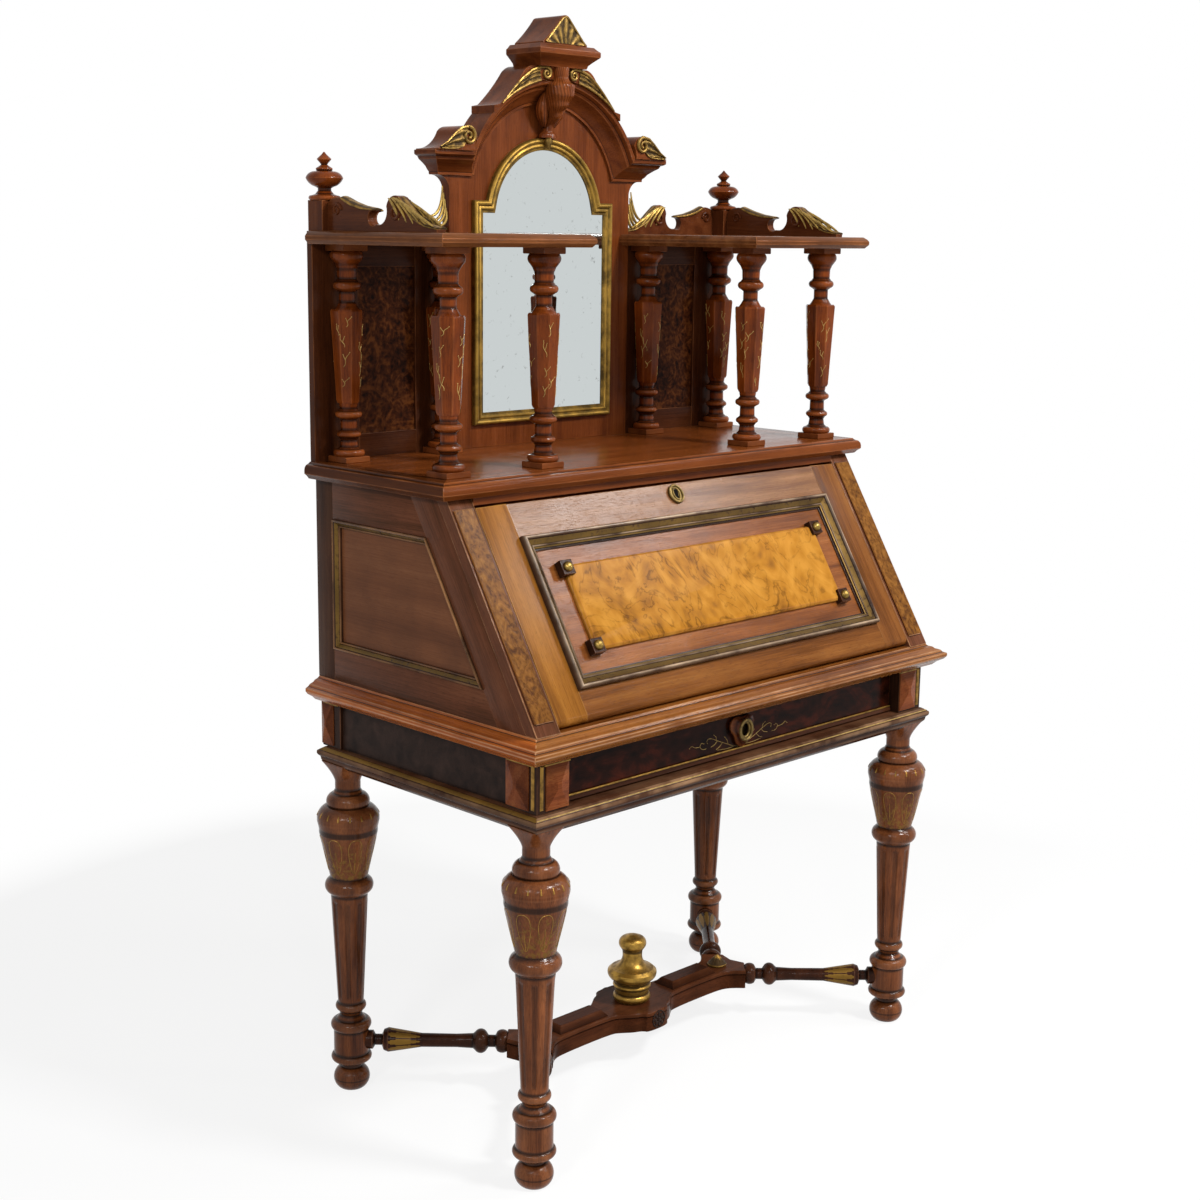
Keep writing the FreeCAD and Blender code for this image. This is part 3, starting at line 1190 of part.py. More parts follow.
def build_all():
    """Every node of the desk with its list of solids."""
    nodes = {}
    leg = build_leg()
    for name, distance in (("front", LEG_FRONT), ("back", LEG_BACK)):
        for side, x in (("left", -LEG_X), ("right", LEG_X)):
            nodes[f"leg_{name}_{side}"] = [moved(leg, x, from_back(distance))]
    nodes["stretcher_rail"] = [build_stretcher()]
    nodes["stretcher_spindles"] = build_spindles()
    nodes["stretcher_finial"] = [build_finial()]

    nodes["base_moulding"] = build_base_moulding()
    nodes["corner_posts"] = [box(x, x + POST_WIDTH, y, y + deep, BASE_TOP, BOARD_LOW)
                             for x, y, deep in post_corners()]
    nodes["corner_tablets"] = build_tablets()
    nodes["aprons"] = build_aprons()
    nodes["drawer_runners"] = build_runners()
    nodes.update(build_drawer())

    nodes["writing_board"] = [build_writing_board()]
    nodes["case_side_frames"], nodes["case_side_panels"], nodes["side_panel_mouldings"] = build_case_sides()
    nodes["slant_stiles"] = build_slant_stiles()
    case_back, nodes["inner_cheeks"], bed, nodes["pigeonholes"] = build_case_inside()
    nodes["case_back"] = [case_back]
    nodes["writing_bed"] = [bed]
    nodes["case_top_rail"] = [build_top_rail()]
    nodes["top_board"] = [build_top_board()]

    nodes.update(build_lid())
    nodes["lid_pivots"] = build_pivots()
    case_arm, lid_arm, nodes["stay_lid_brackets"] = build_stays()
    for side, twin in (("left", mirrored), ("right", lambda shape: shape)):
        nodes[f"stay_case_arm_{side}"] = [twin(case_arm)]
        nodes[f"stay_lid_arm_{side}"] = [twin(lid_arm)]

    nodes["gallery_wings"], nodes["wing_panels"] = build_wings()
    nodes["centre_panel"] = [build_centre_panel()]
    frame, glass = build_mirror()
    nodes["mirror_frame"] = [frame]
    nodes["mirror_glass"] = [glass]
    nodes["hood_cornice"] = build_cornice()
    scrolls, body = build_hood()
    nodes["hood_scrolls"] = scrolls + [body]
    slab, gable = build_cap()
    nodes["hood_cap"] = [slab]
    nodes["pediment"] = [gable]
    nodes["keystone"] = build_keystone(nodes["hood_cornice"] + [body, frame])
    nodes["shelves"] = build_shelves()
    nodes["columns"] = build_columns()
    nodes["gallery_rails"] = build_rails()
    nodes["gallery_posts"] = build_posts()
    return nodes


def main():
    """Write one STEP file for each node."""
    os.makedirs("parts", exist_ok=True)
    for name, solids in build_all().items():
        shape = solids[0] if len(solids) == 1 else Part.makeCompound(solids)
        shape.exportStep(f"parts/{name}.step")
        state = "valid" if shape.isValid() else "INVALID"
        print(name, len(shape.Solids), state, round(shape.Volume / 1000, 1))


main()
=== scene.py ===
import json
import logging
from dataclasses import dataclass, field, replace
from enum import Enum
from math import atan2, ceil, copysign, cos, dist, hypot, log2, pi, radians, sin, sqrt, tau
from typing import Callable, Optional, Sequence

import bmesh
import bpy
from mathutils import Matrix, Vector
from numpy import interp


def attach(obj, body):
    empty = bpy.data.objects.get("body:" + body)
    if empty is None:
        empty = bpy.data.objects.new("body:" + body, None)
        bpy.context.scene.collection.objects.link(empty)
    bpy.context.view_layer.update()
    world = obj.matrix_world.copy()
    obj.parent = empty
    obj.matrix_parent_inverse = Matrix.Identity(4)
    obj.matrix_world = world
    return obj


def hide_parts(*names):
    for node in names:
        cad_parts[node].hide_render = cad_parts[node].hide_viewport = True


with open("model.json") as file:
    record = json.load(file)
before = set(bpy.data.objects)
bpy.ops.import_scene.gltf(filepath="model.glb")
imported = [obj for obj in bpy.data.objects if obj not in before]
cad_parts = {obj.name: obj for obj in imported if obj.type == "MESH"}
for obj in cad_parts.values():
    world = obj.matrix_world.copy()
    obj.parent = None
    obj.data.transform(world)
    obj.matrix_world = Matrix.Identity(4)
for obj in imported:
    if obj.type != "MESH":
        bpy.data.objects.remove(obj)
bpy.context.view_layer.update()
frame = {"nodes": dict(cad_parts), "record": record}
LOG = logging.getLogger("secretary_desk")

MM = 0.001
BACK = 284.9                # plane of the desk's back, mm behind the middle of its box
BOARD_TOP = 766.0
TOP_LOW = 1113.0
TOP_LEVEL = 1142.0
SHELF_LOW = 1506.0
SHELF_TOP = 1527.0
SLANT = radians(58.337)
AXIS_Y = -254.47            # hinge axis of the fall front
AXIS_Z = 778.5

Tree = bpy.types.NodeTree
Node = bpy.types.Node
Socket = bpy.types.NodeSocket
Mesh = bpy.types.Mesh
Colour = tuple[float, float, float, float]
Line = Sequence[tuple[float, float]]
Shares = Sequence[tuple[float, ...]]
Place = Callable[[float, float, float], Vector]     # turns two plane coordinates and a height into a point
Mark = tuple[float, float, float]                   # how gilt a point is, how rubbed pale with painted highlight, and how dark with soot and painted shade
MARK_KEYS = ("gilt", "wear_and_highlight", "cavity")
PLAIN: Mark = (0.0, 0.0, 0.0)
UP = Vector((0.0, 0.0, 1.0))
BODY_OF = {node: body for body, nodes in frame["record"]["behaviour"]["bodies"].items() for node in nodes}


def from_back(distance: float) -> float:
    """Y of a plane that distance in front of the desk's back, in mm."""
    return BACK - distance


def on_slant(x: float, along: float, out: float) -> Vector:
    """Point on the closed fall front.

    Args:
        x: place across the desk, mm.
        along: distance up the slope from the hinge axis, mm.
        out: distance out from the middle plane of the fall front, mm.
    Returns:
        The point in mm.
    """
    y = AXIS_Y + along * cos(SLANT) - out * sin(SLANT)
    z = AXIS_Z + along * sin(SLANT) + out * cos(SLANT)
    return Vector((x, y, z))


def linear(code: str) -> Colour:
    """Linear colour of an sRGB hex value such as "#7a4018"."""
    parts = (int(code[i:i + 2], 16) / 255 for i in (1, 3, 5))
    return *(c / 12.92 if c <= 0.04045 else ((c + 0.055) / 1.055) ** 2.4 for c in parts), 1.0


def feed(tree: Tree, node: Node, sockets: dict) -> None:
    """Give inputs of a node their values or links.

    Args:
        tree: the node's tree.
        node: the node.
        sockets: input name or number, with a value or an output socket to link.
    """
    for key, value in sockets.items():
        if isinstance(value, Socket):
            tree.links.new(value, node.inputs[key])
        else:
            node.inputs[key].default_value = value


def add(tree: Tree, kind: str, sockets: Optional[dict] = None, stops: Sequence[tuple[float, str]] = (),
        **settings: object) -> Optional[Socket]:
    """Add a node with its settings, values and links.

    Args:
        tree: the tree that gets the node.
        kind: the node's type name, without ShaderNode, GeometryNode or FunctionNode before it, and its
            operation, if it has one.
        sockets: what its inputs get.
        stops: places and hex colours of a colour ramp.
        settings: properties of the node.
    Returns:
        The first output in use, whose node has the others.
    """
    kind, _, operation = kind.partition(" ")
    families = ("ShaderNode", "GeometryNode", "FunctionNode", "")
    node = tree.nodes.new(next(name + kind for name in families if hasattr(bpy.types, name + kind)))
    if operation:
        node.operation = operation
    for key, value in settings.items():
        setattr(node, key, value)
    feed(tree, node, sockets or {})
    for i, (place, colour) in enumerate(stops):
        elements = node.color_ramp.elements
        element = elements[i] if i < len(elements) else elements.new(1.0)
        element.position = place
        element.color = linear(colour)
    return next((socket for socket in node.outputs if socket.enabled), None)


class Grain(Enum):
    """Run of the fibres in a piece, as the turn in degrees that lays X along them."""

    ACROSS = (0.0, 0.0, 0.0)
    DEEP = (0.0, 0.0, 90.0)
    UPRIGHT = (0.0, -90.0, 0.0)
    SLOPE = (0.0, -58.337, 90.0)

    def turn(self) -> tuple[float, ...]:
        """The turn in radians."""
        return tuple(radians(angle) for angle in self.value)


@dataclass(frozen=True)
class Finish:
    """A surface finish, made once as a material."""

    name: str
    slot: str

    def paint(self, tree: Tree, place: Socket) -> dict[str, object]:
        """Mix the finish.

        Args:
            tree: the material's node tree.
            place: object coordinates.
        Returns:
            What the shader's inputs take.
        """
        raise NotImplementedError

    def material(self) -> bpy.types.Material:
        """The material of this finish.

        Returns:
            The material, made at its first use.
        """
        found = bpy.data.materials.get(self.name)
        if found:
            return found
        made = bpy.data.materials.new(self.name)
        made.use_nodes = True
        tree = made.node_tree
        place = add(tree, "TexCoord").node.outputs["Object"]
        feed(tree, tree.nodes["Principled BSDF"], self.paint(tree, place))
        return made


@dataclass(frozen=True)
class Polished(Finish):
    """Wood under old shellac: rubbed pale on its arrises, a pale that also paints highlights there, darkened
    in its hollows by soot and painted shade, and gilt where it was gilded.
    """

    rubbed: str = "#a8683a"
    soot_and_shade: str = "#140a06"
    gold: str = "#8a672a"
    gold_low: str = "#46341a"
    roughness: float = 0.17
    sheen_level: float = 0.06       # old shellac throws back less than new varnish
    patina: float = 0.22            # share of dark stain in the blotchiest places

    def age(self, tree: Tree, place: Socket, colour: Socket, height: Socket) -> dict[str, object]:
        """Lay wear and painted highlights, soot and painted shade, and worn gilding over the wood's own
        colour.

        Args:
            tree: the finish's node tree.
            place: object coordinates.
            colour: the wood's colour.
            height: pores and fibres, for the bump.
        Returns:
            What the shader's inputs take.
        """
        # patches of a few millimetres, so that rubbing and gilding break up as they do on old work
        patch = add(tree, "TexNoise", {"Vector": place, "Scale": 1 / (7 * MM), "Detail": 4.0})
        smear = add(tree, "TexNoise", {"Vector": place, "Scale": 1 / (60 * MM), "Detail": 5.0})
        marks = [add(tree, "Attribute", attribute_name=key).node for key in MARK_KEYS]
        gilt, wear_and_highlight, soot_and_shade = (mark.outputs["Fac"] for mark in marks)
        patina = add(tree, "MapRange", {0: smear, 1: 0.3, 2: 0.68, 3: self.patina, 4: 0.0})
        broken = add(tree, "MapRange", {0: smear, 1: 0.34, 2: 0.64, 3: 0.05, 4: 0.6})
        # the wear mark paints pale wear and highlights on arrises; the cavity mark paints soot and shade in
        # hollows
        rubbing_and_highlight = add(tree, "Math MULTIPLY", {0: wear_and_highlight, 1: broken})
        dark = add(tree, "Math MULTIPLY", {0: soot_and_shade, 1: 0.88}, use_clamp=True)
        kept = add(tree, "Math MULTIPLY_ADD", {0: patch, 1: 0.8, 2: gilt})
        leaf = add(tree, "MapRange", {0: kept, 1: 0.68, 2: 0.95}, interpolation_type="SMOOTHSTEP")
        gold = add(tree, "Mix", {0: smear, 6: linear(self.gold_low), 7: linear(self.gold)}, data_type="RGBA")
        black, pale = linear(self.soot_and_shade), linear(self.rubbed)
        for share, over in ((patina, black), (rubbing_and_highlight, pale), (dark, black), (leaf, gold)):
            colour = add(tree, "Mix", {0: share, 6: colour, 7: over}, data_type="RGBA")
        low, high = self.roughness - 0.03, self.roughness + 0.08
        gloss = add(tree, "MapRange", {0: smear, 1: 0.3, 2: 0.7, 3: low, 4: high})
        rough = add(tree, "Mix", {0: leaf, 2: gloss, 3: 0.46})
        metal = add(tree, "Math MULTIPLY", {0: leaf, 1: 0.6})
        bump = add(tree, "Bump", {"Strength": 0.3, "Distance": 0.4 * MM, "Height": height})
        return {"Base Color": colour, "Roughness": rough, "Metallic": metal, "Normal": bump,
                "Specular IOR Level": self.sheen_level}


@dataclass(frozen=True, kw_only=True)
class Walnut(Polished):
    """Straight-grained walnut: long streaks of figure, fine fibres and short open pores."""

    dark: str
    mid: str
    light: str
    grain: Grain = Grain.ACROSS
    figure_mm: float = 26.0
    fibre_mm: float = 1.8       # drawn a little coarser than real fibres, to show at this distance
    ends: Optional[tuple[float, float]] = None      # half width and front, mm, of a board with moulded ends
    end_tint: Colour = (1.0, 1.0, 1.0, 1.0)         # what the colour of its ends is multiplied by

    def along(self, grain: Grain) -> "Walnut":
        """The same finish with its fibres run another way."""
        return replace(self, grain=grain, name=f"{self.name.split('.')[0]}.{grain.name.lower()}")

    def stained(self, name: str, dark: str, mid: str, light: str, **more: object) -> "Walnut":
        """The same finish under another name, with other colours and whatever else differs."""
        return replace(self, name=name, dark=dark, mid=mid, light=light, **more)

    def paint(self, tree: Tree, place: Socket) -> dict[str, object]:
        """Mix the finish.

        Args:
            tree: the material's node tree.
            place: object coordinates.
        Returns:
            What the shader's inputs take.
        """
        tones, whole = [], place
        if self.ends:
            place, at_end = self.mitred(tree, place, self.ends)
        for long, wide, detail in ((self.figure_mm * 14, self.figure_mm, 5.0),
                                   (self.fibre_mm * 45, self.fibre_mm, 2.0), (12.0, 1.1, 1.0)):
            size = (long * MM, wide * MM, wide * MM)
            spot = add(tree, "Mapping", {"Vector": place, "Rotation": self.grain.turn(), "Scale": size},
                       vector_type="TEXTURE")
            settings = {"Vector": spot, "Scale": 1.0, "Detail": detail, "Distortion": 0.35}
            tones.append(add(tree, "TexNoise", settings))
        figure, fibre, pore = tones
        share = add(tree, "Math MULTIPLY", {0: figure, 1: 0.68})
        tone = add(tree, "Math MULTIPLY_ADD", {0: fibre, 1: 0.32, 2: share})
        wood = add(tree, "ValToRGB", {0: tone}, ((0.32, self.dark), (0.5, self.mid), (0.68, self.light)))
        open_pore = add(tree, "MapRange", {0: pore, 1: 0.58, 2: 0.7, 3: 0.0, 4: 0.5})
        colour = add(tree, "Mix", {0: open_pore, 6: wood, 7: linear(self.dark)}, data_type="RGBA")
        if self.ends:
            colour = add(tree, "Mix", {0: at_end, 6: colour, 7: self.end_tint}, data_type="RGBA",
                         blend_type="MULTIPLY")
        height = add(tree, "Math SUBTRACT", {0: fibre, 1: open_pore})
        return self.age(tree, whole, colour, height)

    def mitred(self, tree: Tree, place: Socket, ends: tuple[float, float]) -> tuple[Socket, Socket]:
        """Coordinates with X and Y exchanged past the mitres of a board with moulded ends.

        Args:
            tree: the finish's node tree.
            place: object coordinates.
            ends: half width and front of the board in mm.
        Returns:
            The coordinates that the fibres follow, and whether a point is past a mitre.
        """
        x, y, z = add(tree, "SeparateXYZ", {0: place}).node.outputs
        aside = add(tree, "Math ABSOLUTE", {0: x})
        from_end = add(tree, "Math SUBTRACT", {0: ends[0] * MM, 1: aside})
        from_front = add(tree, "Math SUBTRACT", {0: y, 1: ends[1] * MM})
        nearest = add(tree, "Math MINIMUM", {0: from_front, 1: 40 * MM})
        turned = add(tree, "Math LESS_THAN", {0: from_end, 1: nearest})
        swapped = add(tree, "CombineXYZ", {0: y, 1: x, 2: z})
        return add(tree, "Mix", {0: turned, 4: place, 5: swapped}, data_type="VECTOR"), turned


@dataclass(frozen=True, kw_only=True)
class Burl(Polished):
    """Sliced burl veneer: swirling clouds of tone, small eyes and wavy dark veins."""

    dark: str
    mid: str
    light: str
    vein: str
    cloud_mm: float
    eye_mm: float
    vein_share: float
    vein_count: float       # nested wavy lines between the palest and the darkest cloud
    stretch: float          # how much longer clouds are across the desk than down it

    def paint(self, tree: Tree, place: Socket) -> dict[str, object]:
        """Mix the finish.

        Args:
            tree: the material's node tree.
            place: object coordinates.
        Returns:
            What the shader's inputs take.
        """
        size = (self.cloud_mm * self.stretch * MM, self.cloud_mm * MM, self.cloud_mm * MM)
        spot = add(tree, "Mapping", {"Vector": place, "Scale": size}, vector_type="TEXTURE")
        cloud, wave = (add(tree, "TexNoise", {"Vector": spot, "Scale": scale, "Detail": 5.0,
                                              "Roughness": rough, "Distortion": swirl})
                       for scale, rough, swirl in ((1.0, 0.6, 1.6), (0.9, 0.5, 1.7)))
        eyes = {"Vector": spot, "Scale": self.cloud_mm / self.eye_mm, "Smoothness": 0.6}
        eye = add(tree, "TexVoronoi", eyes, feature="SMOOTH_F1")
        share = add(tree, "Math MULTIPLY", {0: cloud, 1: 0.82})
        tone = add(tree, "Math MULTIPLY_ADD", {0: eye, 1: 0.2, 2: share})
        wood = add(tree, "ValToRGB", {0: tone}, ((0.34, self.dark), (0.5, self.mid), (0.66, self.light)))
        bands = add(tree, "Math MULTIPLY", {0: wave, 1: self.vein_count})
        swing = add(tree, "Math PINGPONG", {0: bands, 1: 1.0})
        thin = add(tree, "MapRange", {0: swing, 1: 0.0, 2: 0.3, 3: self.vein_share, 4: 0.0},
                   interpolation_type="SMOOTHSTEP")
        gap = add(tree, "MapRange", {0: cloud, 1: 0.66, 2: 0.42, 3: 0.12, 4: 1.0})
        line = add(tree, "Math MULTIPLY", {0: thin, 1: gap})
        colour = add(tree, "Mix", {0: line, 6: wood, 7: linear(self.vein)}, data_type="RGBA")
        return self.age(tree, place, colour, tone)


@dataclass(frozen=True)
class Metal(Finish):
    """Aged metal: bright where it is handled, dull and brown in patches, and in hollows, where the darkening
    is tarnish and painted shade.
    """

    bright: str
    dull: str
    roughness: float
    patch_mm: float = 9.0
    metallic: float = 1.0

    def paint(self, tree: Tree, place: Socket) -> dict[str, object]:
        """Mix the finish.

        Args:
            tree: the material's node tree.
            place: object coordinates.
        Returns:
            What the shader's inputs take.
        """
        patches = {"Vector": place, "Scale": 1 / (self.patch_mm * MM), "Detail": 5.0, "Roughness": 0.62}
        patch = add(tree, "TexNoise", patches)
        soot_and_shade = add(tree, "Attribute", attribute_name="cavity").node.outputs["Fac"]
        # hollows are darkened as tarnish and painted shade
        dirt_and_shade = add(tree, "Math MULTIPLY_ADD", {0: soot_and_shade, 1: 0.55, 2: patch})
        colour = add(tree, "ValToRGB", {0: dirt_and_shade}, ((0.42, self.bright), (0.78, self.dull)))
        low, high = self.roughness - 0.06, self.roughness + 0.22
        rough = add(tree, "MapRange", {0: dirt_and_shade, 1: 0.35, 2: 0.8, 3: low, 4: high})
        bump = add(tree, "Bump", {"Strength": 0.2, "Distance": 0.3 * MM, "Height": patch})
        return {"Base Color": colour, "Roughness": rough, "Normal": bump, "Metallic": self.metallic}


@dataclass(frozen=True)
class Silvered(Finish):
    """Old silvered plate glass: a clear reflection with grey foxing in the silver."""

    bright: str = "#c9cfcf"
    fox: str = "#5d5a52"

    def paint(self, tree: Tree, place: Socket) -> dict[str, object]:
        """Mix the finish.

        Args:
            tree: the material's node tree.
            place: object coordinates.
        Returns:
            What the shader's inputs take.
        """
        flecks = {"Vector": place, "Scale": 1 / (14 * MM), "Detail": 6.0, "Roughness": 0.7}
        spots = add(tree, "TexNoise", flecks)
        fox = add(tree, "MapRange", {0: spots, 1: 0.62, 2: 0.78, 3: 0.0, 4: 0.8})
        colour = add(tree, "Mix", {0: fox, 6: linear(self.bright), 7: linear(self.fox)}, data_type="RGBA")
        rough = add(tree, "MapRange", {0: fox, 3: 0.015, 4: 0.4})
        return {"Base Color": colour, "Roughness": rough, "Metallic": 1.0}


# Red-brown walnut under glossy shellac, the wood of most of the desk
RED = Walnut("shellacked_red_walnut", "walnut", dark="#4a200d", mid="#693415", light="#7c401e",
             rubbed="#a8683c")
# Turned work shows a deeper brown with bright highlights
TURNED = RED.stained("turned_walnut", "#421806", "#6e310d", "#864015", grain=Grain.UPRIGHT, roughness=0.12,
                     sheen_level=0.11, rubbed="#a86030", patina=0.4)
# The legs are browner and dirtier than the columns
LEG = TURNED.stained("leg_walnut", "#3f1c0b", "#6f3c1d", "#8c532f", rubbed="#b5805a", patina=0.45,
                     sheen_level=0.15)
# Honey walnut on the left of the fall front, paler than the right as painted light, and the browner walnut of
# its other members
HONEY = RED.stained("honey_walnut", "#643b14", "#89561e", "#9c682a", rubbed="#c4924c", patina=0.1,
                    sheen_level=0.05)
BROWN = RED.stained("brown_walnut", "#4e2a0f", "#75451c", "#885728", rubbed="#b8844f", patina=0.12)
# Worn, purplish top rail of the fall front
WORN = RED.stained("worn_walnut", "#553018", "#7a4f2c", "#906540", rubbed="#cfa78a", roughness=0.22,
                   patina=0.12, sheen_level=0.22)
# Smoky dark walnut of the case sides, nearly black on the frieze
SMOKY = RED.stained("smoky_walnut", "#40240f", "#603723", "#734730", slot="walnut_dark", rubbed="#96664a")
BLACK = SMOKY.stained("blackened_walnut", "#1a1210", "#2d201b", "#3b2b25", rubbed="#60483a", roughness=0.3,
                      sheen_level=0.05)
# Panel mouldings, their gilding nearly lost under dirt, their pale rubbed colour painting highlight lines on
# the crests
MOULDED = SMOKY.stained("moulded_walnut", "#221108", "#382013", "#4a2d1d", rubbed="#d0b494", gold="#7c5f2c",
                        gold_low="#33240f", sheen_level=0.16)
# Golden burl veneer of the fall front's tablet, and the browner burl of strips, panels and drawer; the wing
# panels' burl is darkened as painted shade under the shelf
GOLDEN_BURL = Burl("golden_burl_veneer", "burl", dark="#7a4d1c", mid="#a66e23", light="#bb8232",
                   vein="#4a2a0d", sheen_level=0.03, cloud_mm=120.0, eye_mm=26.0, vein_share=0.65,
                   vein_count=14.0, stretch=0.8, patina=0.1)
BROWN_BURL = Burl("brown_burl_veneer", "burl", dark="#4c2a10", mid="#724719", light="#8b5b25", vein="#33190a",
                  sheen_level=0.06, cloud_mm=30.0, eye_mm=8.0, vein_share=0.6, vein_count=11.0, stretch=0.7,
                  patina=0.2)
DARK_BURL = Burl("red_burl_veneer", "burl", dark="#1c0a05", mid="#43200e", light="#6a3b1b", vein="#140704",
                 sheen_level=0.03, cloud_mm=26.0, eye_mm=7.0, vein_share=0.6, vein_count=7.0, stretch=1.0)
DRAWER_BURL = Burl("blackened_burl_veneer", "burl", dark="#120603", mid="#280f07", light="#45190b",
                   vein="#0c0402", sheen_level=0.05, cloud_mm=60.0, eye_mm=14.0, vein_share=0.4,
                   vein_count=7.0, stretch=2.0)
# Unpolished inside wood
INSIDE = Walnut("plain_inside_wood", "plain_wood", dark="#6d4a2c", mid="#8d6540", light="#a67e53",
                roughness=0.55, sheen_level=0.1)
# Oil gilding gone olive with age, brown in its hollows
GILT = Metal("aged_oil_gilding", "gilt", "#94702f", "#3c2b14", patch_mm=14.0, roughness=0.42, metallic=0.8)
# The same gilding, dirtier on the hood and rubbed bright on the strands of the carved leaves
HOOD_GILT = replace(GILT, name="dirty_oil_gilding", bright="#8a6c32", dull="#332512", patch_mm=10.0)
FROND_GILT = replace(GILT, name="rubbed_oil_gilding", bright="#a58745", dull="#44331a", patch_mm=9.0)
# Thin leaf in cuts, still pale and bright
LEAF_GILT = Metal("bright_leaf_gilding", "gilt", "#b99a55", "#6e5628", roughness=0.4, metallic=0.6)
# Lacquered brass fittings and bolts, and the iron of the lock cases
BRASS = Metal("aged_brass", "brass", "#94793f", "#4d3b1c", patch_mm=8.0, roughness=0.3)
TARNISHED = replace(BRASS, name="tarnished_brass", bright="#77633a", dull="#33281a", roughness=0.42)
IRON = Metal("dull_iron", "steel", "#85827c", "#4c4844", patch_mm=6.0, roughness=0.42)
# Keyhole, so dark that only its edge catches light
HOLE = Walnut("keyhole_shadow", "walnut_dark", dark="#060403", mid="#0a0706", light="#0e0a08", roughness=0.7,
              sheen_level=0.05)
MIRROR = Silvered("old_silvered_glass", "mirror")


def install(name: str, mesh: Mesh, finish: Finish, body: str = "desk", replaces: Sequence[str] = (),
            sharp: float = 28.0) -> None:
    """Make a finished piece of a mesh and let it ride its body.

    Args:
        name: the piece's name.
        mesh: its mesh, in metres in the desk's frame.
        finish: its finish.
        body: the moving body that carries it.
        replaces: nodes that it stands for.
        sharp: angle in degrees from which an edge stays crisp.
    """
    mesh.name = name
    mesh.materials.clear()
    mesh.materials.append(finish.material())
    mesh.polygons.foreach_set("use_smooth", [True] * len(mesh.polygons))
    mesh.polygons.foreach_set("material_index", [0] * len(mesh.polygons))
    mesh.set_sharp_from_angle(angle=radians(sharp))
    piece = bpy.data.objects.new(name, mesh)
    bpy.context.scene.collection.objects.link(piece)
    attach(piece, body)
    if replaces:
        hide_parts(*replaces)
    LOG.info("%s: %d faces, %s", name, len(mesh.polygons), finish.name)


def dress(finish: Finish, *nodes: str) -> None:
    """Give nodes of the frame a finish as they stand.

    Args:
        finish: the finish.
        nodes: their names.
    """
    for node in nodes:
        for slot in frame["nodes"][node].material_slots:
            slot.material = finish.material()
        LOG.info("%s dressed in %s", node, finish.name)


def ease(node: str, finish: Finish, width: float = 1.0, part: str = "eased",
         members: Sequence[Callable[[Vector], bool]] = (), sharp: float = 20.0,
         tone: Optional[Callable[[Vector], float]] = None) -> None:
    """Replace a node, or some of its members, by a copy with eased arrises, rubbed pale as wear and painted
    highlight; a whole node also gets its inner corners darkened as soot and painted shade.

    Args:
        node: the node that is copied.
        finish: its finish.
        width: width of the eased arris in mm.
        part: ending of the piece's name.
        members: tests in mm, one of which every corner of a taken face passes.
        sharp: angle in degrees from which an edge stays crisp.
        tone: how dark each facet is painted by its normal, as shade.
    """
    work = bmesh.new()
    work.from_mesh(frame["nodes"][node].data)
    if members:
        drop = [f for f in work.faces if not any(all(test(v.co / MM) for v in f.verts) for test in members)]
        bmesh.ops.delete(work, geom=drop, context="FACES")
    bmesh.ops.remove_doubles(work, verts=work.verts, dist=2e-6)
    bmesh.ops.dissolve_limit(work, angle_limit=radians(1.0), verts=work.verts, edges=work.edges)
    rubbed, sooty_and_shaded = work.faces.layers.float.new("wear_and_highlight"), work.faces.layers.float.new("cavity")
    # inner corners are darkened as soot and painted shade, outer arrises paled as wear and painted highlight
    passes = ((True, rubbed, 0.6),) if members else ((False, sooty_and_shaded, 0.85), (True, rubbed, 0.6))
    for convex, layer, share in passes:
        arrises = [e for e in work.edges if e.is_manifold and e.is_convex == convex
                   and e.calc_face_angle(0.0) > radians(30) and not any(f[sooty_and_shaded] for f in e.link_faces)]
        made = bmesh.ops.bevel(work, geom=arrises, offset=width * MM * (1.0 if convex else 0.8), segments=2,
                               profile=0.6, affect="EDGES", clamp_overlap=False)
        for face in made["faces"]:
            face[layer] = share
    # painted shade on each facet, by the way it faces
    if tone:
        for face in work.faces:
            face[sooty_and_shaded] = tone(face.normal)
    mesh = bpy.data.meshes.new(node)
    work.to_mesh(mesh)
    work.free()
    install(f"{node}_{part}", mesh, finish, BODY_OF[node], [node], sharp)


def store(mesh: Mesh, values: dict[str, Sequence[float]]) -> None:
    """Give the points of a mesh float attributes."""
    for key, row in values.items():
        mesh.attributes.new(key, "FLOAT", "POINT").data.foreach_set("value", row)


def circle(count: int) -> list[tuple[float, float]]:
    """Cosine and sine of angles spread evenly round a circle."""
    return [(cos(tau * i / count), sin(tau * i / count)) for i in range(count)]


def rectangle(u0: float, v0: float, u1: float, v1: float) -> Line:
    """Corners of the rectangle between two opposite ones, anticlockwise."""
    return (u0, v0), (u1, v0), (u1, v1), (u0, v1)


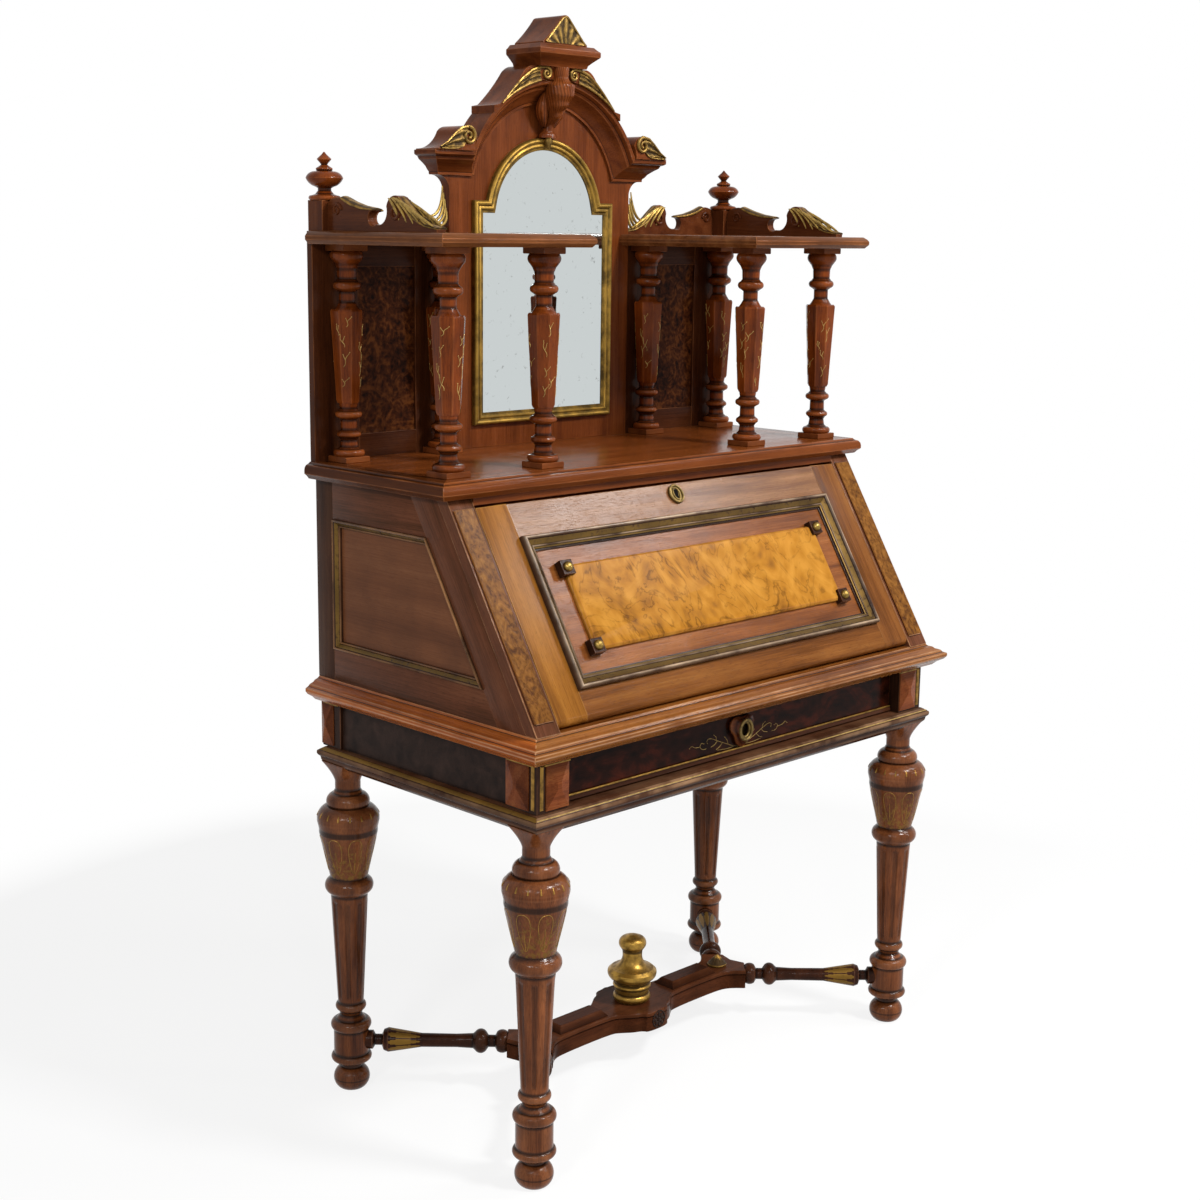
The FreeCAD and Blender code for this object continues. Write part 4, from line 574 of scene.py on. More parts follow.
@dataclass
class Shape:
    """Points and faces gathered for one piece, in mm, with the marks of each point."""

    points: list[Vector] = field(default_factory=list)
    faces: list[tuple[int, ...]] = field(default_factory=list)
    marks: list[Mark] = field(default_factory=list)

    def loft(self, rows: Sequence[Sequence[Vector]], marks: Optional[Sequence[Sequence[Mark]]] = None,
             ring: bool = False) -> None:
        """Add a closed skin through matching loops.

        Args:
            rows: loops of points, each with the same count.
            marks: marks of the points, or none for plain ones.
            ring: whether the last loop joins the first, so that there are no ends.
        """
        start, count = len(self.points), len(rows[0])
        for i, row in enumerate(rows):
            self.points.extend(row)
            self.marks.extend(marks[i] if marks else [PLAIN] * count)
        last = len(rows) - 1
        for i in range(last + ring):
            a, b = start + i * count, start + ((i + 1) % len(rows)) * count
            for j in range(count):
                k = (j + 1) % count
                self.faces.append((a + j, a + k, b + k, b + j))
        if not ring:
            self.faces += [tuple(start + end * count + j for j in range(count)) for end in (0, last)]

    def block(self, low: Sequence[float], high: Sequence[float], slope: float, axis: int) -> None:
        """Add a block whose far face along an axis is drawn in by a slope.

        Args:
            low: corner of the near face.
            high: the opposite corner, before the far face is drawn in.
            slope: how far the far face is drawn in on each side.
            axis: direction from the near to the far face.
        """
        u, v = [i for i in range(3) if i != axis]
        rows = []
        for end, pull in ((low, 0.0), (high, slope)):
            row = []
            for corner in rectangle(low[u] + pull, low[v] + pull, high[u] - pull, high[v] - pull):
                point = Vector(end)
                point[u], point[v] = corner
                row.append(point)
            rows.append(row)
        self.loft(rows)

    def plank(self, outline: Line, place: Place, thick: float, ease_by: float = 0.7) -> None:
        """Add a flat member with eased arrises on its show face.

        Args:
            outline: its anticlockwise outline in its plane.
            place: where its plane lies.
            thick: its thickness in mm, up to the show face.
            ease_by: width of the eased arris in mm.
        """
        steps = ((0.0, 0.0), (0.0, thick - ease_by), (0.3 * ease_by, thick - 0.3 * ease_by), (ease_by, thick))
        count = len(outline)
        # the eased arris is marked pale, as wear and painted highlight
        self.loft([[place(u, v, h) for u, v in inset(outline, d)] for d, h in steps],
                  [[PLAIN] * count, [PLAIN] * count, [(0.0, 0.7, 0.0)] * count, [PLAIN] * count])

    def moulding(self, corners: Line, profile: Shares, place: Place, plain_sides: Sequence[int] = (),
                 joined: bool = False) -> None:
        """Add strips of a moulding round a polygon, mitred at its corners.

        Args:
            corners: anticlockwise corners in the moulding's plane.
            profile: inset, height, and optionally how gilt, how rubbed pale with painted highlight, and how
                dark with soot and painted shade, round the section.
            place: where the plane lies.
            plain_sides: sides without gilding, by number.
            joined: one skin all round, for a dense path.
        """
        rings = [inset(corners, item[0]) for item in profile]
        loops = [[place(*spot, item[1]) for spot, item in zip(spots, profile)] for spots in zip(*rings)]
        marks = [tuple(item[2:]) or PLAIN for item in profile]
        if joined:
            self.loft(loops, [marks] * len(loops), ring=True)
            return
        bare = [(0.0, 1.0 if gilt or wear_and_highlight > 0.3 else wear_and_highlight, soot_and_shade) for gilt, wear_and_highlight, soot_and_shade in marks]
        for i in range(len(corners)):
            used = bare if i in plain_sides else marks
            self.loft([loops[i], loops[(i + 1) % len(corners)]], [used, used])

    def mesh(self) -> Mesh:
        """The gathered skin as a mesh in metres, its faces turned outwards.

        Returns:
            The mesh, with its marks as attributes.
        """
        mesh = bpy.data.meshes.new("shape")
        mesh.from_pydata([p * MM for p in self.points], [], self.faces)
        store(mesh, dict(zip(MARK_KEYS, zip(*self.marks))))
        work = bmesh.new()
        work.from_mesh(mesh)
        bmesh.ops.recalc_face_normals(work, faces=work.faces)
        work.to_mesh(mesh)
        work.free()
        return mesh


def inset(points: Line, amount: float) -> Line:
    """Anticlockwise polygon with every side moved inwards.

    Args:
        points: its corners.
        amount: how far, in mm.
    Returns:
        The moved corners.
    """
    lines, moved = [], []
    for i, (u0, v0) in enumerate(points):
        u1, v1 = points[(i + 1) % len(points)]
        length = hypot(u1 - u0, v1 - v0)
        nu, nv = -(v1 - v0) / length, (u1 - u0) / length
        lines.append((nu, nv, nu * u0 + nv * v0 + amount))
    for i, (a1, b1, c1) in enumerate(lines):
        a0, b0, c0 = lines[i - 1]
        det = a0 * b1 - a1 * b0
        moved.append(((c0 * b1 - c1 * b0) / det, (a0 * c1 - a1 * c0) / det))
    return moved


def arc(start: Sequence[float], middle: Sequence[float], end: Sequence[float], count: int) -> Line:
    """Points on the arc through three points, without the first.

    Args:
        start, middle, end: the three points.
        count: how many points to give.
    Returns:
        The points, the last of them the end.
    """
    (ax, ay), (bx, by), (cx, cy) = start, middle, end
    d = 2 * (ax * (by - cy) + bx * (cy - ay) + cx * (ay - by))
    a2, b2, c2 = ax * ax + ay * ay, bx * bx + by * by, cx * cx + cy * cy
    ux = (a2 * (by - cy) + b2 * (cy - ay) + c2 * (ay - by)) / d
    uy = (a2 * (cx - bx) + b2 * (ax - cx) + c2 * (bx - ax)) / d
    first, mid, last = (atan2(y - uy, x - ux) for x, y in (start, middle, end))
    radius = hypot(ax - ux, ay - uy)
    sweep = (last - first) % tau
    if (mid - first) % tau > sweep:
        sweep -= tau
    steps = [first + sweep * (i + 1) / count for i in range(count)]
    return [(ux + radius * cos(a), uy + radius * sin(a)) for a in steps]


def turned_line(shares: Shares, tall: float, wide: float, step: float = 2.5) -> Line:
    """Close points along a turner's profile.

    Args:
        shares: height and radius shares, with the middle of an arc where a point ends one.
        tall: height in mm.
        wide: greatest radius in mm.
        step: greatest distance of neighbouring points in mm.
    Returns:
        Height and radius of each point in mm.
    """
    line = [(shares[0][0] * tall, shares[0][1] * wide)]
    for item in shares[1:]:
        z0, r0 = line[-1]
        end = (item[0] * tall, item[1] * wide)
        length = dist(line[-1], end)
        if len(item) == 4:
            line += arc(line[-1], (item[2] * tall, item[3] * wide), end, max(5, int(length * 1.4 / step)))
            continue
        count = max(1, ceil(length / step))
        line += [(z0 + (end[0] - z0) * i / count, r0 + (end[1] - r0) * i / count)
                 for i in range(1, count + 1)]
    return line


def profile_marks(line: Line) -> list[Mark]:
    """Marks along a profile: rubbed pale with painted highlight on its ridges, and darkened with soot and
    painted shade in its grooves.

    Args:
        line: height and radius of its points in mm.
    Returns:
        The marks of the points.
    """
    marks = [PLAIN]
    for before, here, after in zip(line, line[1:], line[2:]):
        d0 = Vector((here[0] - before[0], here[1] - before[1])).normalized()
        d1 = Vector((after[0] - here[0], after[1] - here[1])).normalized()
        turn = d0.x * d1.y - d0.y * d1.x
        marks.append((0.0, min(0.6, max(0.0, -turn * 0.9)), min(1.0, max(0.0, turn * 2.2))))
    marks.append(PLAIN)
    around = [[mark[2] for mark in marks[max(0, i - 1):i + 2]] for i in range(len(marks))]
    return [(0.0, wear_and_highlight, max(soot_and_shade, 0.7 * max(near))) for (_, wear_and_highlight, soot_and_shade), near in zip(marks, around)]


def shift(x: float, y: float, z: float) -> Matrix:
    """Move by distances in mm."""
    return Matrix.Translation(Vector((x, y, z)) * MM)


def moved(mesh: Mesh, spot: Matrix) -> Mesh:
    """Copy of a mesh at another place.

    Args:
        mesh: the mesh.
        spot: where the copy goes, in metres.
    Returns:
        The copy.
    """
    copy = mesh.copy()
    copy.transform(spot)
    return copy


def merged(meshes: Sequence[Mesh]) -> Mesh:
    """One mesh of several.

    Args:
        meshes: the meshes.
    Returns:
        The whole, with their attributes.
    """
    work = bmesh.new()
    for mesh in meshes:
        work.from_mesh(mesh)
    whole = bpy.data.meshes.new("merged")
    work.to_mesh(whole)
    work.free()
    return whole


def grown(tree: Tree, host: Mesh, values: dict[str, object]) -> Mesh:
    """Plain mesh that a node tree makes of a host mesh.

    Args:
        tree: the geometry tree.
        host: the mesh it works on.
        values: its inputs by name.
    Returns:
        The finished mesh.
    """
    worker = bpy.data.objects.new("worker", host)
    bpy.context.scene.collection.objects.link(worker)
    modifier = worker.modifiers.new("work", "NODES")
    modifier.node_group = tree
    for item in tree.interface.items_tree:
        if item.item_type == "SOCKET" and item.in_out == "INPUT" and item.name in values:
            modifier[item.identifier] = values[item.name]
    graph = bpy.context.evaluated_depsgraph_get()
    mesh = bpy.data.meshes.new_from_object(worker.evaluated_get(graph))
    bpy.data.objects.remove(worker)
    return mesh


def new_tree(name: str, **inputs: str) -> tuple[Tree, bpy.types.NodeOutputs]:
    """Geometry tree with named inputs and a geometry output.

    Args:
        name: the tree's name.
        inputs: kind of each input between the geometry and the finish, by its name.
    Returns:
        The tree and its inputs.
    """
    tree = bpy.data.node_groups.new(name, "GeometryNodeTree")
    tree.interface.new_socket("Geometry", in_out="OUTPUT", socket_type="NodeSocketGeometry")
    for label, kind in (("Geometry", "Geometry"), *inputs.items(), ("Finish", "Material")):
        tree.interface.new_socket(label, in_out="INPUT", socket_type=f"NodeSocket{kind}")
    return tree, add(tree, "NodeGroupInput").node.outputs


def close_tree(tree: Tree, shape: Socket, finish: Socket) -> None:
    """End a tree with real geometry in its material."""
    real = add(tree, "RealizeInstances", {0: shape})
    add(tree, "NodeGroupOutput", {0: add(tree, "SetMaterial", {"Geometry": real, "Material": finish})})


class Lathe:
    """Turned work: a profile spun about Z, with flutes cut down part of it."""

    def __init__(self) -> None:
        """Build the tree."""
        tree, given = new_tree("turned_work", Sides="Int", Flutes="Int", Depth="Float", Low="Float",
                               High="Float")
        line = add(tree, "MeshToCurve", {0: given["Geometry"]})
        x, _, z = add(tree, "SeparateXYZ", {0: add(tree, "InputPosition")}).node.outputs
        kept = add(tree, "StoreNamedAttribute", {"Geometry": line, "Name": "turned_radius", "Value": x})
        axis = add(tree, "SetPosition", {"Geometry": kept, "Position": add(tree, "CombineXYZ", {"Z": z})})
        ring = add(tree, "CurvePrimitiveCircle", {"Resolution": given["Sides"], "Radius": 1.0})
        radius = add(tree, "InputNamedAttribute", {"Name": "turned_radius"})
        spun = add(tree, "CurveToMesh", {0: axis, 1: ring, "Scale": radius, "Fill Caps": True})
        x, y, z = add(tree, "SeparateXYZ", {0: add(tree, "InputPosition")}).node.outputs
        angle = add(tree, "Math ARCTAN2", {0: y, 1: x})
        turns = add(tree, "Math MULTIPLY", {0: angle, 1: given["Flutes"]})
        wave = add(tree, "Math COSINE", {0: turns})
        mask = add(tree, "MapRange", {0: wave, 1: 0.05, 2: 0.75}, interpolation_type="SMOOTHSTEP")
        for level, way in ((given["Low"], 1.0), (given["High"], -1.0)):
            above = add(tree, "Math SUBTRACT", {0: z, 1: level})
            past = add(tree, "Math MULTIPLY", {0: above, 1: way / (6 * MM)}, use_clamp=True)
            mask = add(tree, "Math MULTIPLY", {0: mask, 1: past})
        flat = add(tree, "CombineXYZ", {"X": x, "Y": y})
        outward = add(tree, "VectorMath NORMALIZE", {0: flat})
        depth = add(tree, "Math MULTIPLY", {0: mask, 1: given["Depth"]})
        inward = add(tree, "Math MULTIPLY", {0: depth, 1: -1.0})
        cut = add(tree, "VectorMath SCALE", {0: outward, "Scale": inward})
        fluted = add(tree, "SetPosition", {"Geometry": spun, "Offset": cut})
        # the flutes take a little gilt, and are darkened as soot and painted shade
        for key, share in (("gilt", 0.14), ("cavity", 0.42)):
            had = add(tree, "InputNamedAttribute", {"Name": key})
            value = add(tree, "Math MULTIPLY_ADD", {0: mask, 1: share, 2: had})
            fluted = add(tree, "StoreNamedAttribute", {"Geometry": fluted, "Name": key, "Value": value})
        close_tree(tree, fluted, given["Finish"])
        self.tree = tree

    def turn(self, line: Line, finish: Finish, sides: int = 96, flutes: int = 0, depth: float = 0.0,
             low: float = 0.0, high: float = 0.0) -> Mesh:
        """Spin a profile.

        Args:
            line: height and radius of its points in mm.
            finish: its finish.
            sides: facets round it.
            flutes: number of flutes.
            depth: their depth in mm.
            low: their lower end in mm.
            high: their upper end in mm.
        Returns:
            The mesh, on the Z axis.
        """
        host = bpy.data.meshes.new("profile")
        edges = [(i, i + 1) for i in range(len(line) - 1)]
        host.from_pydata([(r * MM, 0.0, z * MM) for z, r in line], edges, [])
        store(host, dict(zip(MARK_KEYS, zip(*profile_marks(line)))))
        return grown(self.tree, host, {"Sides": sides, "Flutes": flutes, "Depth": depth * MM, "Low": low * MM,
                                       "High": high * MM, "Finish": finish.material()})


@dataclass
class Thread:
    """A path in mm with its thickness at each point and the drops that sit on it, if any."""

    points: list[Vector]
    thick: list[float]
    drops: list[float] = field(default_factory=list)
    closed: bool = False

    @classmethod
    def even(cls, points: list[Vector], thick: float, closed: bool = False) -> "Thread":
        """A thread of one thickness without drops."""
        return cls(points, [thick] * len(points), closed=closed)

    @classmethod
    def tapered(cls, points: list[Vector], thick: float, tip: float = 0.0) -> "Thread":
        """A stroke that swells in the middle.

        Args:
            points: its path in mm.
            thick: its greatest thickness in mm.
            tip: size of the drop at its end.
        Returns:
            The stroke.
        """
        last = len(points) - 1
        swell = [thick * (0.35 + 0.65 * sin(pi * (0.15 + 0.75 * i / last))) for i in range(last + 1)]
        return cls(points, swell, [0.0] * last + [tip])

    @classmethod
    def volute(cls, centre: Vector, u: Vector, v: Vector, radius: float, turns: float, thick: float,
               start: float = 0.0) -> "Thread":
        """A spiral that winds inwards to an eye.

        Args:
            centre: its eye.
            u, v: unit directions of its plane; it winds from u towards v.
            radius: outer radius in mm.
            turns: number of turns.
            thick: thickness at its outer end in mm.
            start: angle in radians where it begins.
        Returns:
            The spiral, with its eye as a drop.
        """
        count = int(26 * turns)
        points, widths = [], []
        for i in range(count + 1):
            t = i / count
            angle = start + turns * tau * t
            r = radius * (1 - 0.78 * t ** 0.85)
            points.append(centre + (u * cos(angle) + v * sin(angle)) * r)
            widths.append(thick * (1 - 0.45 * t))
        return cls(points, widths, [0.0] * count + [radius * 0.2])


class Liner:
    """Gilded lines, beads and volutes: round threads along paths, with drops at marked points."""

    def __init__(self) -> None:
        """Build the tree."""
        tree, given = new_tree("threads_and_drops", Sides="Int", Drop="Float")
        path = add(tree, "MeshToCurve", {0: given["Geometry"]})
        ring = add(tree, "CurvePrimitiveCircle", {"Resolution": given["Sides"], "Radius": 1.0})
        thick = add(tree, "InputNamedAttribute", {"Name": "thick"})
        thread = add(tree, "CurveToMesh", {0: path, 1: ring, "Scale": thick, "Fill Caps": True})
        drop = add(tree, "InputNamedAttribute", {"Name": "drop"})
        chosen = add(tree, "Math GREATER_THAN", {0: drop, 1: 0.5})
        size = add(tree, "Math MULTIPLY", {0: drop, 1: given["Drop"]})
        ball = add(tree, "MeshIcoSphere", {"Radius": 1.0, "Subdivisions": 2})
        drops = add(tree, "InstanceOnPoints", {"Points": given["Geometry"], "Selection": chosen,
                                               "Instance": ball, "Scale": size})
        both = add(tree, "JoinGeometry", {0: thread})
        tree.links.new(drops, both.node.inputs[0])
        close_tree(tree, both, given["Finish"])
        self.tree = tree

    def draw(self, paths: Sequence[Thread], finish: Finish, sides: int = 8, drop: float = 1.0) -> Mesh:
        """Mesh of threads and drops.

        Args:
            paths: the threads.
            finish: their finish.
            sides: facets round a thread.
            drop: radius in mm of a drop of size 1.
        Returns:
            The mesh.
        """
        points, edges, thick, drops = [], [], [], []
        for path in paths:
            start, count = len(points), len(path.points)
            points += [p * MM for p in path.points]
            edges += [(start + i, start + i + 1) for i in range(count - 1)]
            thick += [t * MM for t in path.thick]
            drops += path.drops or [0.0] * count
            if path.closed:
                edges.append((len(points) - 1, start))
        host = bpy.data.meshes.new("paths")
        host.from_pydata(points, edges, [])
        store(host, {"thick": thick, "drop": drops})
        return grown(self.tree, host, {"Sides": sides, "Drop": drop * MM, "Finish": finish.material()})

    def lay(self, name: str, paths: Sequence[Thread], finish: Finish, body: str = "desk",
            **form: float) -> None:
        """Install threads and drops as a piece."""
        install(name, self.draw(paths, finish, **form), finish, body)


class Ringer:
    """A ring of small rounded forms, such as petals or beads, set out round Z."""

    def __init__(self) -> None:
        """Build the tree."""
        tree, given = new_tree("ring_of_petals", Count="Int", Radius="Float", Size="Vector")
        ring = add(tree, "MeshCircle", {"Vertices": given["Count"], "Radius": given["Radius"]})
        ball = add(tree, "MeshIcoSphere", {"Radius": 1.0, "Subdivisions": 2})
        facing = add(tree, "AlignRotationToVector", {"Vector": add(tree, "InputPosition")}, axis="X")
        petals = add(tree, "InstanceOnPoints", {"Points": ring, "Instance": ball, "Rotation": facing,
                                                "Scale": given["Size"]})
        close_tree(tree, petals, given["Finish"])
        self.tree = tree

    def ring(self, count: int, radius: float, size: tuple[float, float, float], finish: Finish) -> Mesh:
        """Mesh of a ring.

        Args:
            count: number of forms.
            radius: radius of the ring in mm.
            size: half length, width and height of a form in mm.
            finish: its finish.
        Returns:
            The mesh, round the Z axis.
        """
        return grown(self.tree, bpy.data.meshes.new("ring"), {
            "Count": count, "Radius": radius * MM, "Size": [side * MM for side in size],
            "Finish": finish.material()})


LATHE, LINER, RINGER = Lathe(), Liner(), Ringer()


def along_path(path: Line, share: float) -> tuple[float, float]:
    """Point of a path.

    Args:
        path: its corners.
        share: share of its length before the point.
    Returns:
        The point.
    """
    lengths = [dist(a, b) for a, b in zip(path, path[1:])]
    left = share * sum(lengths)
    for a, b, length in zip(path, path[1:], lengths):
        if left <= length + 1e-9:
            t = min(1.0, left / length)
            return a[0] + (b[0] - a[0]) * t, a[1] + (b[1] - a[1]) * t
        left -= length
    return path[-1]


def carved_field(shape: Shape, upper: Line, lower: Line, place: Place, ribs: float, flutes: float,
                 rise: float) -> None:
    """Add a carved field between two edges.

    Args:
        shape: what gets the field.
        upper, lower: its edges, in plane coordinates that run the same way.
        place: where the plane lies.
        ribs: number of ribs across it, one after the other along its edges.
        flutes: number of flutes that run along it.
        rise: height in mm.
    """
    rows, marks = [], []
    count, across = max(36, int(ribs * 10)), 16
    for i in range(count + 1):
        top, low = along_path(upper, i / count), along_path(lower, i / count)
        row, mark = [], []
        for j in range(across + 1):
            s = j / across
            wave = cos(tau * (ribs * i / count + flutes * s))
            u, v = (a + (b - a) * s for a, b in zip(low, top))
            row.append(place(u, v, rise * (0.55 + 0.45 * wave)))
            # gilt all over, darkened in the troughs as soot and painted shade
            mark.append((1.0, 0.0, 0.3 - 0.24 * wave))
        rows.append(row + [place(*top, -1.5), place(*low, -1.5)])
        marks.append(mark + [PLAIN, PLAIN])
    shape.loft(rows, marks)


def draped_leaf(shape: Shape, path: Sequence[Vector], side: Vector, half: float, flutes: float) -> None:
    """Add a fluted leaf that lies along an edge and hangs down both its faces.

    Args:
        shape: what gets the leaf.
        path: points along the edge in mm.
        side: unit direction across the edge.
        half: half the leaf's width in mm.
        flutes: flutes that run along half of it.
    """
    rows, marks = [], []
    count, across, deep = 48, 18, 9.0
    lengths = [(b - a).length for a, b in zip(path, path[1:])]
    for i in range(count + 1):
        left = sum(lengths) * i / count
        k = 0
        while k < len(lengths) - 1 and left > lengths[k]:
            left -= lengths[k]
            k += 1
        point = path[k].lerp(path[k + 1], min(1.0, left / lengths[k]))
        normal = side.cross((path[k + 1] - path[k]).normalized()).normalized()
        normal = normal if normal.z >= -0.2 else -normal
        full = sin(pi * (0.12 + 0.8 * i / count)) ** 0.6
        droop = deep * full * (1 - 0.5 * i / count)
        row, mark = [], []
        for j in range(across + 1):
            w = 2 * j / across - 1
            a = abs(w)
            wave = (0.5 + 0.5 * cos(tau * flutes * w)) ** 0.55
            hang = droop * (0.6 + 0.4 * wave) * max(0.0, (a - 0.3) / 0.7) ** 1.1
            lateral = half * min(1.0, a / 0.4) ** 0.7 + 1.6 * wave * full * min(1.0, a / 0.4)
            height = 1.6 * (1 - a * a) + 1.5 * wave * (1 - a) - hang
            row.append(point + side * copysign(lateral, w) + normal * height)
            # gilt all over, darkened between the flutes as soot and painted shade
            mark.append((1.0, 0.0, 0.9 * (1 - wave)))
        rows.append(row)
        marks.append(mark)
    shape.loft(rows, marks)


def keyhole(name: str, place: Place, deep: float, body: str) -> None:
    """Fill a keyhole with shadow.

    Args:
        name: the piece's name.
        place: where the lock's plane lies.
        deep: height of the filling in mm.
        body: the moving body that carries it.
    """
    outline = [(3.4 * copysign(abs(c) ** 0.4, c), -9.0) if s < -0.6 else (5.2 * c, 3.6 + 5.2 * s)
               for c, s in circle(28)]
    hole = Shape()
    hole.loft([[place(u, v, height) for u, v in outline] for height in (0.0, deep)])
    install(name, hole.mesh(), HOLE, body)


@dataclass
class Legs:
    """Four turned legs with fluted shafts, lotus vases and square flared heads."""

    tall: float = 607.0
    wide: float = 55.13
    half_x: float = 477.0
    front_y: float = -241.1
    rear_y: float = 247.9
    tongues: int = 8
    wedges: int = 16
    neck: float = 22.6
    head_half: float = 34.5
    head_low: float = 578.0
    head_top: float = 614.0
    shares: Shares = (
        (0.0, .417), (.066, .348, .035, .589), (.077, .348), (.084, .543), (.109, .571, .096, .663),
        (.1845, .571), (.217, .489, .201, .661), (.231, .351), (.244, .399), (.27, .418, .257, .5),
        (.608, .598), (.614, .661), (.656, .661, .634, .783), (.662, .603), (.799, .942), (.811, .942),
        (.834, 1.0), (.845, 1.0), (.88, .67, .868, .888), (.916, .489, .896, .692), (.9275, .409),
        (.972, .409))

    def cuts(self, line: Line) -> list[Thread]:
        """Incised outlines and veins of the petals round the vase, and the wedge cuts on its shoulder.

        Args:
            line: height and radius of the profile's points in mm.
        Returns:
            The cuts of a leg that stands on the Z axis.
        """
        def at(share: float, turn: float, sink: float) -> Vector:
            """Point on the vase at a share of the height and a turn, sunk by some mm."""
            r = interp(share * self.tall, *zip(*line)) - sink
            return Vector((r * cos(tau * turn), r * sin(tau * turn), share * self.tall))

        threads = []
        for k in range(self.tongues):
            points = []
            for c, s in circle(44):
                share = .739 + .054 * c
                wide = .4 * copysign(abs(s) ** 0.8, s) * (0.5 + 5 * (share - .685))
                points.append(at(share, (k + .5 + wide) / self.tongues, 0.1))
            vein = [at(.684 + .01 * i, (k + .5) / self.tongues, 0.2) for i in range(8)]
            threads += [Thread.even(points, 0.6, closed=True), Thread.tapered(vein, 0.8)]
        for k in range(self.wedges):
            wedge = [at(share, (k + .5) / self.wedges, 0.9) for share in (.8495, .854, .859, .864, .868)]
            threads.append(Thread(wedge, [2.0, 1.9, 1.6, 1.1, 0.4]))
        return threads

    def head(self, x: float, y: float) -> list[list[Vector]]:
        """Head of a leg, which flares from a round neck to a square.

        Args:
            x, y: the leg's axis in mm.
        Returns:
            Loops up the head.
        """
        rows = []
        for i in range(15):
            share = min(1.0, i / 13)
            half = self.neck + (self.head_half - self.neck) * share ** 1.2
            corner = self.neck + (1.32 * self.head_half - self.neck) * share ** 1.45
            power = 2 * (0.5 - log2(corner / half))
            z = self.head_low + (self.head_top - self.head_low) * (0.97 * share + 0.03 * (i > 13))
            around = [[half * copysign(abs(way) ** power, way) for way in pair] for pair in circle(48)]
            rows.append([Vector((x + a, y + b, z)) for a, b in around])
        return rows

    def build(self) -> None:
        """Make the legs, their gilt cuts and their heads."""
        line = turned_line(self.shares, self.tall, self.wide)
        turned = LATHE.turn(line, LEG, 144, 8, 2.4, .283 * self.tall, .593 * self.tall)
        gilt, soot_and_shade = turned.attributes["gilt"].data, turned.attributes["cavity"].data
        for vertex in turned.vertices:
            share = vertex.co.z / MM / self.tall
            if .664 < share < .797:
                gilt[vertex.index].value = 0.38 - 0.9 * (share - .664)
            # a dark band just above the vase and a dark ring near the foot, both soot and painted shade
            if .799 < share < .8115 or abs(share - .031) < .003:
                soot_and_shade[vertex.index].value = 0.9
        cuts, heads, copies = LINER.draw(self.cuts(line), GILT, sides=6), Shape(), []
        for node, side, y in (("leg_front_left", -1, self.front_y), ("leg_front_right", 1, self.front_y),
                              ("leg_back_left", -1, self.rear_y), ("leg_back_right", 1, self.rear_y)):
            spot = shift(side * self.half_x, y, 0.0)
            install(f"{node}_turned", moved(turned, spot), LEG, replaces=[node])
            copies.append(moved(cuts, spot))
            heads.loft(self.head(side * self.half_x, y))
        install("leg_gilt_cuts", merged(copies), GILT)
        install("leg_heads", heads.mesh(), LEG)


